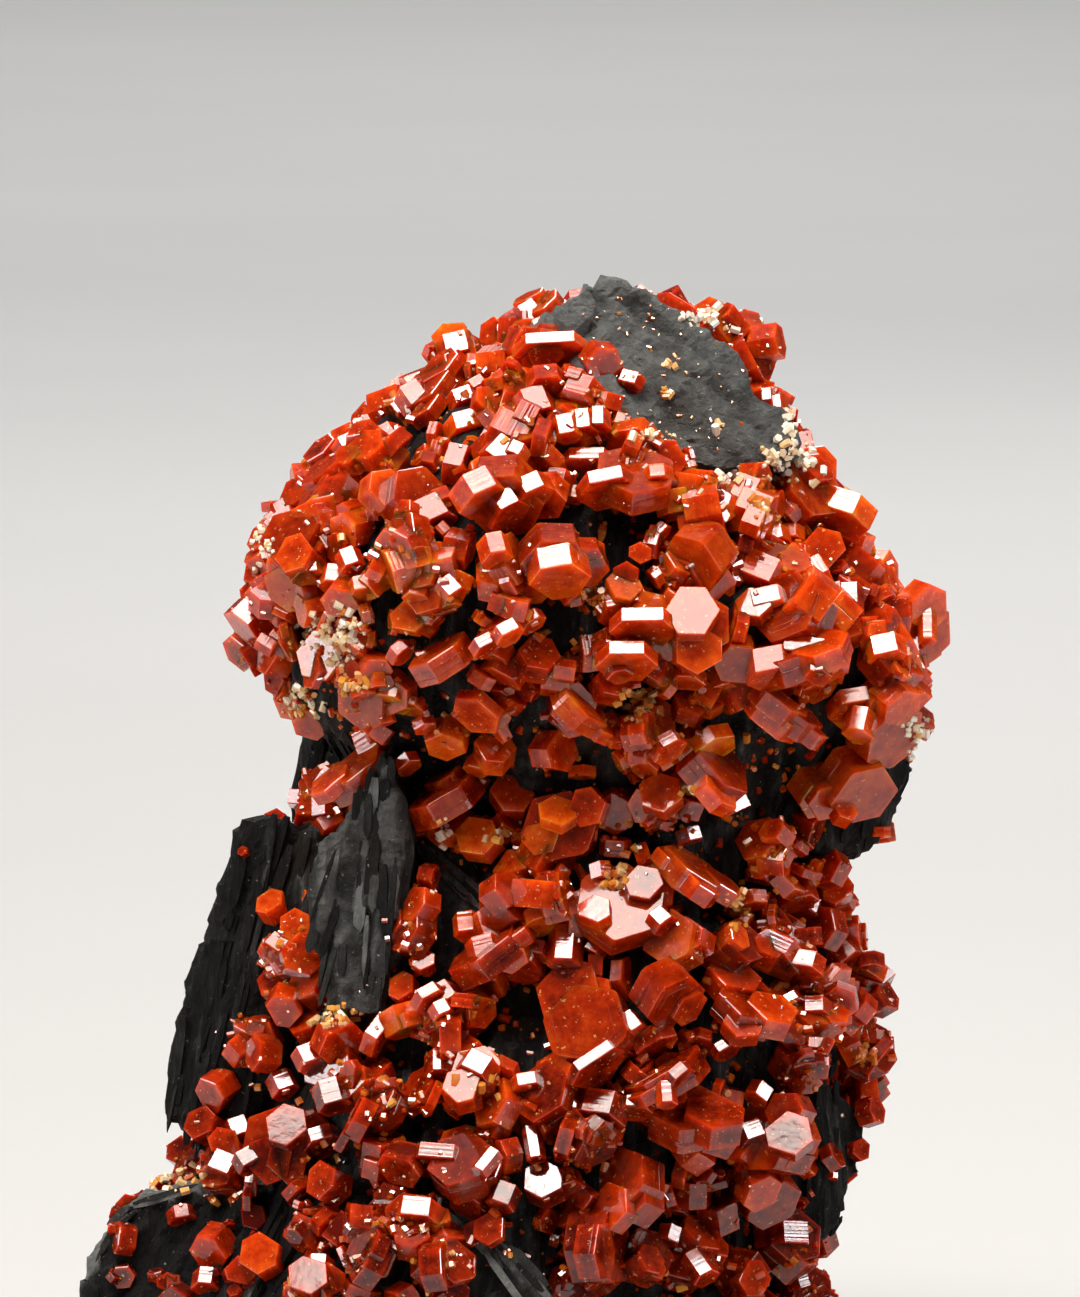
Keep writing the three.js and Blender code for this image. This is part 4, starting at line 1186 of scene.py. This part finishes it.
# %% [markdown]
# ## The crust's small crystals
# The rest of the crust is a jumble. Points are drawn by area over the outer faces of the crust
# solids, in clusters with dark gaps between them, and one that lies too near a bigger one is
# dropped. Crystals that would cross the specimen's outline, or one of its deepest hollows, are dropped
# as well. The outline's rows are h, left edge and right edge. Most of them were measured by a small
# program and then rounded. The hollows' rows are x, h and a radius, and were chosen one by one.

# %% Outline and hollows
OUTLINE = np.array(
    [
        [5, -34.5, 25.5], [12, -34, 25.5], [17, -33.5, 26], [20, -31, 26.5], [22, -28.5, 28],
        [25, -29, 29.5], [28, -28.5, 30.5], [32, -27, 28.5], [35, -26.5, 30], [38, -25, 28.5],
        [42, -23, 27], [44.5, -22.5, 26], [47, -22, 29.5], [50, -21.5, 32], [54, -19, 33.5],
        [57, -20.5, 33.5], [60, -22, 33], [62, -23.5, 34.5], [65, -23, 34.5], [67, -23.5, 31],
        [69.5, -23.5, 28.5], [72, -22, 28], [74.5, -19, 27.5], [77, -17.5, 25.5], [80, -16, 25],
        [82, -13.5, 22], [85, -8.5, 21.5], [87, -7, 21], [89.5, -3, 18.5], [92, 3, 9],
    ]
)
HOLLOWS = np.array(
    [
        [8.1, 71.2, 1.9], [9.4, 68.6, 1.0], [-4.6, 64.2, 1.7], [-8.4, 59.4, 1.8], [1.0, 57.2, 1.6],
        [6.0, 63.4, 1.2], [9.4, 58.4, 1.3], [19.6, 51.4, 1.8], [-1.4, 44.8, 1.6], [14.4, 28.2, 1.8],
        [-13.6, 18.2, 2.2], [-8.2, 28.0, 1.6], [-4.8, 23.6, 1.4], [1.6, 30.4, 1.3],
        [6.4, 19.4, 1.4], [16.6, 21.4, 1.6], [-10.0, 11.4, 1.6], [24.2, 38.2, 1.2],
        [15.0, 33.0, 1.4], [8.6, 37.0, 1.3], [-6.0, 36.4, 1.4], [4.4, 36.0, 1.1], [16.2, 46.6, 1.4],
        [10.0, 46.6, 1.2], [-9.8, 30.6, 1.2], [1.2, 14.6, 1.6], [17.4, 16.4, 1.2],
        [10.2, 22.2, 1.2], [-10.4, 66.0, 1.2], [4.0, 72.4, 0.9], [16.8, 64.6, 1.0],
        [24.6, 58.2, 1.2], [-1.6, 34.6, 1.0], [21.4, 34.6, 1.0], [-11.0, 70.4, 0.9],
        [26.4, 46.0, 1.2], [-4.4, 16.2, 1.3], [-2.4, 14.0, 1.4], [-0.4, 11.8, 1.4], [1.2, 9.6, 1.2],
        [-7.0, 45.4, 1.1], [-4.4, 42.8, 1.1],
    ]
)


def stray(centre, width):
    """Whether each crystal stands in a dark hollow or reaches past the outline. Its place in the
    picture is where its line of sight crosses the upright plane through the aim."""
    step = centre - eye
    step = step * (away / -(step @ back))[:, None] / MM
    x, h = CENTRE[0] + step @ right, CENTRE[1] + step @ up
    inside = np.hypot(x[:, None] - HOLLOWS[:, 0], h[:, None] - HOLLOWS[:, 1]) < HOLLOWS[:, 2]
    level, leftmost, rightmost = OUTLINE.T
    half = 0.4 * width / MM
    past = x - half < np.interp(h, level, leftmost) - 0.5
    past |= x + half > np.interp(h, level, rightmost) + 0.5
    return inside.any(axis=1) | past


print("a crystal 60 mm to the right is stray:", stray(np.array([[0.06, 0, 0.05]]), np.array([MM])))


# %% Sow crystals on the crust
def spread(spots, sizes, fixed):
    """The numbers of the spots to keep. The first ones are fixed; each other one is dropped if a
    kept one is nearer than half the sum of their sizes."""
    kept = list(range(fixed))
    for k in range(fixed, len(spots)):
        apart = np.linalg.norm(spots[kept] - spots[k], axis=1)
        if np.all(apart > 0.5 * (sizes[kept] + sizes[k])):
            kept.append(k)
    return np.array(kept)


def sown_places(node, tries, placed):
    """Chance places on a crust, the widest first, clear of the placed crystals: place, normal and
    width. A noise makes the clusters. Places where it is under the bare share stay empty."""
    spots, out = surface_points(node, tries, rock_tree, 1.2 * MM)
    width = np.clip(random.lognormal(math.log(2.2), 0.38, tries), 1.0, 4.4) * MM
    cluster = smooth_noise(spots / MM / 4.6, 21)
    z = spots[:, 2] / MM
    bare = np.where(np.abs(z - 54) < 6, 0.52, np.where(z > 60, 0.4, 0.5))
    order = np.argsort(-width + 9 * (cluster < bare))
    order = order[: np.count_nonzero(cluster > bare)]
    spots, out, width = spots[order], out[order], width[order]
    every = np.concatenate([placed[0], spots])
    sizes = np.concatenate([placed[3] * 0.8, width * 0.6])
    fixed = len(placed[0])
    kept = spread(every, sizes, fixed)[fixed:] - fixed
    kept = kept[spots[kept, 2] > 0.8 * width[kept]]
    return spots[kept], out[kept], width[kept]


def sown_crystals(node, tries, placed):
    """Chance tablets on a crust. The axis leans between the normal and chance, and away from the
    front, so that few end faces face it. Three in ten have a side face turned nearly to flash."""
    spots, out, width = sown_places(node, tries, placed)
    n = len(spots)
    axis = unit(out * 0.35 + unit(random.normal(size=(n, 3))))
    axis = unit(axis - 0.45 * (axis @ back)[:, None] * back)
    side = unit(np.cross(axis, random.normal(size=(n, 3))))
    glint = (random.random(n) < 0.3)[:, None]
    side = np.where(glint, unit(half_way + 0.13 * random.normal(size=(n, 3))), side)
    axis = unit(axis - np.sum(axis * side, axis=1, keepdims=True) * side)
    thick = width * random.uniform(0.3, 0.7, n) * np.where(spots[:, 2] < 50 * MM, 0.85, 1)
    sink = random.uniform(-0.3, 0.8, n) * MM
    return spots - out * sink[:, None], axis, side, width, thick


# %% Shape of the small crystals
def small_crystal_mesh(name, centre, axis, side, width, thick):
    """Five rings of six sides: a bevel, the body with its middle, and a bevel. The tone is a soft
    noise of the place plus chance, and one crystal in ten is lighter; low down a painted shade
    makes it darker."""
    n = len(width)
    six = width[:, None] * HALF_PER_WIDTH * random.uniform(0.84, 1.08, (n, 6))
    edge = np.minimum(0.04 * width, 0.07 * MM)
    flat = np.zeros(n)
    reach = np.stack([six - row[:, None] for row in (edge, flat, flat, flat, edge)], axis=1)
    height = np.stack([thick / 2, thick / 2 - edge, flat, edge - thick / 2, -thick / 2], axis=1)
    points = ring_points(centre, axis, side, reach, height)
    tones = 0.55 * smooth_noise(centre / MM / 7, 31) + 0.45 * random.random(n)
    # Painted shade: the crystals low down are darker.
    tones += 0.25 * (random.random(n) < 0.1) - 0.75 * painted_shade_low_down(centre[:, 2])
    # Rim numbers for the painted glow of the bevels.
    numbers = point_numbers(height, [1, 1, 0.2, 1, 1], 6)
    return mesh_of_copies(name, points, ring_faces(5, 6), tone=tones, **numbers)


# %% Build the small crystals
CRUST_TRIES = {"druse_head": 9000, "druse_trunk": 11000}
grown_pieces = [splinters]


def part_of(group, node):
    """The crystals of a group that belong to the head or to the trunk."""
    above = group[0][:, 2] > 51 * MM
    return tuple(one[above == (node == "druse_head")] for one in group)


for node, tries in CRUST_TRIES.items():
    here = part_of(by_hand, node)
    sown = sown_crystals(node, tries, here)
    groups = here, part_of(on_big, node), part_of(on_rock, node), sown
    every = joined(*groups, side_crystals(*sown, 0.6), side_crystals(*sown, 0.3))
    ours = np.arange(len(every[0])) < len(here[0])
    keep = (ours | ~stray(every[0], every[3])) & (every[0][:, 2] > 0.62 * every[3])
    every = tuple(one[keep] for one in every)
    print(node, "small crystals:", len(every[0]))
    mesh = small_crystal_mesh("small_" + node, *every)
    piece = show("small_" + node, mesh, small_material)
    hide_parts(node)
    grown_pieces.append(piece)

# %% [markdown]
# ## Pale crust
# Tiny cream, yellow and amber crystals sit in patches, and others are sprinkled between the red
# crystals. A texture could hint at them, but real edges catch the light as the real ones do, so each
# is a plain hexagonal prism under a millimetre across. Each row of the patches is x, h, how far it
# spreads sideways and up, and a shade from 0 for amber to 1 for cream.

# %% Patches and the shape of tiny crystals
PATCHES = np.array(
    [
        [15.0, 88.4, 2.0, 0.9, 1.0], [21.8, 76.8, 2.4, 1.6, 0.9], [17.0, 75.8, 1.3, 0.8, 0.9],
        [11.0, 79.0, 1.6, 0.4, 0.7], [-15.2, 62.8, 2.3, 2.2, 0.8], [-20.6, 70.2, 0.9, 1.6, 0.9],
        [-6.0, 47.3, 0.8, 0.7, 0.8], [-14.8, 32.3, 1.6, 0.9, 0.5], [-29.2, 19.8, 3.0, 1.2, 0.6],
        [32.0, 55.2, 1.0, 1.7, 1.0], [19.7, 73.3, 0.9, 0.9, 0.2], [5.8, 66.0, 1.2, 1.0, 0.2],
        [9.4, 57.4, 1.5, 1.2, 0.3], [27.6, 29.4, 1.1, 0.9, 0.1], [12.0, 84.7, 0.5, 0.5, 0.5],
        [11.7, 82.4, 0.5, 0.5, 0.4], [16.0, 79.7, 0.6, 0.4, 0.7], [7.8, 43.6, 1.2, 0.9, 0.4],
        [-1.8, 47.0, 1.0, 0.6, 0.6], [13.6, 50.6, 1.0, 0.6, 0.5], [-17.6, 57.6, 1.6, 1.2, 0.6],
        [-13.4, 59.0, 1.4, 1.0, 0.4], [21.6, 80.2, 0.8, 1.3, 0.95], [17.6, 41.0, 1.0, 1.6, 0.3],
    ]
)


def tiny_crystal_mesh(name, centre, width, tones, flash):
    """Prisms of two rings. Where flash is 1, a side face is turned to flash, as in the larger ones.
    Each end stands 0.3 to 0.7 of the width from the middle."""
    n = len(centre)
    toward = unit(half_way + 0.06 * random.normal(size=(n, 3)))
    side = np.where(flash[:, None] == 1, toward, unit(random.normal(size=(n, 3))))
    axis = unit(np.cross(side, random.normal(size=(n, 3))))
    reach = width[:, None, None] * HALF_PER_WIDTH * np.ones((1, 2, 6))
    tall = width * random.uniform(0.3, 0.7, n)
    points = ring_points(centre, axis, side, reach, np.stack([tall, -tall], axis=1))
    return mesh_of_copies(name, points, ring_faces(2, 6), tone=tones)


print("patches:", len(PATCHES))

# %% Rays onto the finished pieces
grown_trees = [finished_tree(piece) for piece in [*grown_pieces, large_piece, rock]]


def first_hits(starts, ways):
    """Where each ray first meets the finished pieces, and which rays meet them at all."""
    places, hit_any = [], []
    for start, way in zip(starts, ways):
        hits = [tree.ray_cast(Vector(start), Vector(way)) for tree in grown_trees]
        hits = [hit for hit in hits if hit[0] is not None]
        hit_any.append(bool(hits))
        if hits:
            places.append(min(hits, key=lambda hit: hit[3])[0])
    return np.array(places), np.array(hit_any)


def picture_hits(x, h):
    """First hits of the lines of sight through places in the picture."""
    return first_hits(np.tile(eye, (len(x), 1)), sight(x[:, None], h[:, None]))


per_patch = np.clip(24 * PATCHES[:, 2] * PATCHES[:, 3], 8, 90).astype(int)
x, h, wide, tall, shade = np.repeat(PATCHES, per_patch, axis=0).T
x = x + wide * random.normal(0, 0.5, len(x))
h = h + tall * random.normal(0, 0.5, len(h))
patch_places, met = picture_hits(x, h)
patch_tones = np.clip(shade[met] + random.normal(0, 0.15, met.sum()), 0, 1)
print("crystals in the patches:", len(patch_places))


# %% Sprinkle crystals between the others
CRUST_REACH = 0.7


def sprinkled(count):
    """Places where rays toward chance points inside the specimen first land. Six in ten come from
    round the front and the rest from anywhere. Those near the crust stay, and a fifth of those up to
    2.5 mm from it."""
    frontal = random.random(count) < 0.6
    round_front = random.normal(0, 0.7, count)
    anywhere = random.uniform(0, 2 * math.pi, count)
    turn = np.where(frontal, round_front, anywhere)
    rise = random.uniform(-0.3, 0.5, count)
    outward = unit(np.stack([np.sin(turn), -np.cos(turn), rise], axis=1))
    spans = (-0.025, 0.025), (-0.01, 0.01), (0.004, 0.088)
    targets = np.stack([random.uniform(*span, count) for span in spans], axis=1)
    landed, _ = first_hits(targets + outward * 0.2, -outward)
    off = distances(landed, crust_tree) / MM
    return landed[(off < CRUST_REACH) | ((off < 2.5) & (random.random(len(off)) < 0.2))]


sprinkles = sprinkled(6000)
on_dark = distances(sprinkles, crust_tree) > CRUST_REACH * MM
amber = (random.random(len(sprinkles)) < 0.25) & ~on_dark
print("sprinkled crystals:", len(sprinkles), "of which amber:", amber.sum())

# %% Pale and amber crystals
amber_places = sprinkles[amber]
places = np.concatenate([patch_places, amber_places])
widths = random.uniform(0.2, 0.75, len(places)) ** 1.2 * MM
tones = np.concatenate([patch_tones, random.uniform(0, 0.8, len(amber_places)) ** 3])
flash = (random.random(len(places)) < 0.15).astype(int)
pale_mesh = tiny_crystal_mesh("pale_crystals", places, widths, tones, flash)
show("pale_crystals", pale_mesh, pale_material)

# %% Red sprinkles and the crown's glitter
red_places, dark_places = sprinkles[~amber], on_dark[~amber]
widths = random.uniform(0.22, 0.8, len(red_places)) ** 1.3 * MM * np.where(dark_places, 0.6, 1)
flash = ((random.random(len(red_places)) < 0.65) | dark_places).astype(int)
tones = random.uniform(0.2, 1, len(red_places))
GLINTS = 90
x, h = random.uniform(5, 20, GLINTS), random.uniform(77, 90, GLINTS)
glitter, _ = picture_hits(x, h)
glitter = glitter[polish_of(glitter) * (distances(glitter, crust_tree) > 0.6 * MM) > 0.5]
glints = len(glitter)
red_places = np.concatenate([red_places, glitter])
widths = np.concatenate([widths, random.uniform(0.12, 0.3, glints) * MM])
flash = np.concatenate([flash, np.ones(glints, int)])
tones = np.concatenate([tones, np.ones(glints)])
tiny_mesh = tiny_crystal_mesh("tiny_crystals", red_places, widths, tones, flash)
show("tiny_crystals", tiny_mesh, small_material)

# %% [markdown]
# ## Floor, light and camera
# The specimen stands on a plain pale floor. A large soft lamp above and in front makes the white
# flashes on faces that tip up. Weaker lamps at the sides and behind light the rest. The camera looks
# down a little through a long lens, so that the floor fills the picture behind the specimen.


# %% Floor
def floor_material():
    """A pale finish whose colour drifts a little with a soft noise."""
    material, tree, surface, place = new_material("studio_floor")
    cloud = noise(tree, place, 6, 2, 0.5)
    colour = ramp(tree, cloud, [(0.3, (0.47, 0.465, 0.455)), (0.7, (0.485, 0.48, 0.47))])
    set_socket(tree, surface.inputs["Base Color"], colour)
    surface.inputs["Roughness"].default_value = 0.7
    return material


floor_mesh = bpy.data.meshes.new("floor")
floor_mesh.from_pydata([(-7, -0.3, 0), (7, -0.3, 0), (7, 13, 0), (-7, 13, 0)], [], [(0, 1, 2, 3)])
floor = bpy.data.objects.new("floor", floor_mesh)
floor_mesh.materials.append(floor_material())
bpy.context.scene.collection.objects.link(floor)
print("the floor is", floor.dimensions.x, "m wide")


# %% Lamps
def soft_lamp(name, place, target, width, height, power, colour=(1, 1, 1)):
    """A rectangular lamp at a place, turned to a target."""
    data = bpy.data.lights.new(name, "AREA")
    data.shape = "RECTANGLE"
    data.size, data.size_y = width, height
    data.energy = power
    data.color = colour
    lamp = bpy.data.objects.new(name, data)
    bpy.context.scene.collection.objects.link(lamp)
    lamp.location = place
    lamp.rotation_euler = (Vector(target) - Vector(place)).to_track_quat("-Z", "Y").to_euler()


soft_lamp("key", KEY_LAMP, MIDDLE, 0.6, 0.46, 8.6, (1, 0.92, 0.84))
soft_lamp("key_centre", KEY_LAMP * 0.98, MIDDLE, 0.22, 0.17, 2.2, (1, 0.95, 0.9))
soft_lamp("side_left", LEFT_LAMP, MIDDLE, 0.3, 0.4, 4)
soft_lamp("side_right", RIGHT_LAMP, MIDDLE, 0.22, 0.3, 4)
soft_lamp("rear", (0.2, 0.8, 0.6), MIDDLE, 0.5, 0.4, 2.5)
soft_lamp("background", (0, 2.0, 1.1), (0, 2.0, 0), 0.8, 2.6, 22)
print("lamps:", len(bpy.data.lights))

# %% Even light for the floor, and the pale room
sun_data = bpy.data.lights.new("ceiling", "SUN")
sun_data.energy = 0.3
sun_data.angle = math.radians(60)
sun = bpy.data.objects.new("ceiling", sun_data)
bpy.context.scene.collection.objects.link(sun)
world = bpy.data.worlds.new("studio")
bpy.context.scene.world = world
world.use_nodes = True
room = world.node_tree
seen = add_node(room, "ShaderNodeLightPath").outputs["Is Camera Ray"]
strength = calculated(room, "MULTIPLY_ADD", seen, 0.5, 0.05)
room.nodes["Background"].inputs["Color"].default_value = (0.95, 0.95, 0.94, 1)
room.links.new(strength, room.nodes["Background"].inputs["Strength"])
bpy.context.scene.view_settings.view_transform = "Standard"
print("world:", world.name)
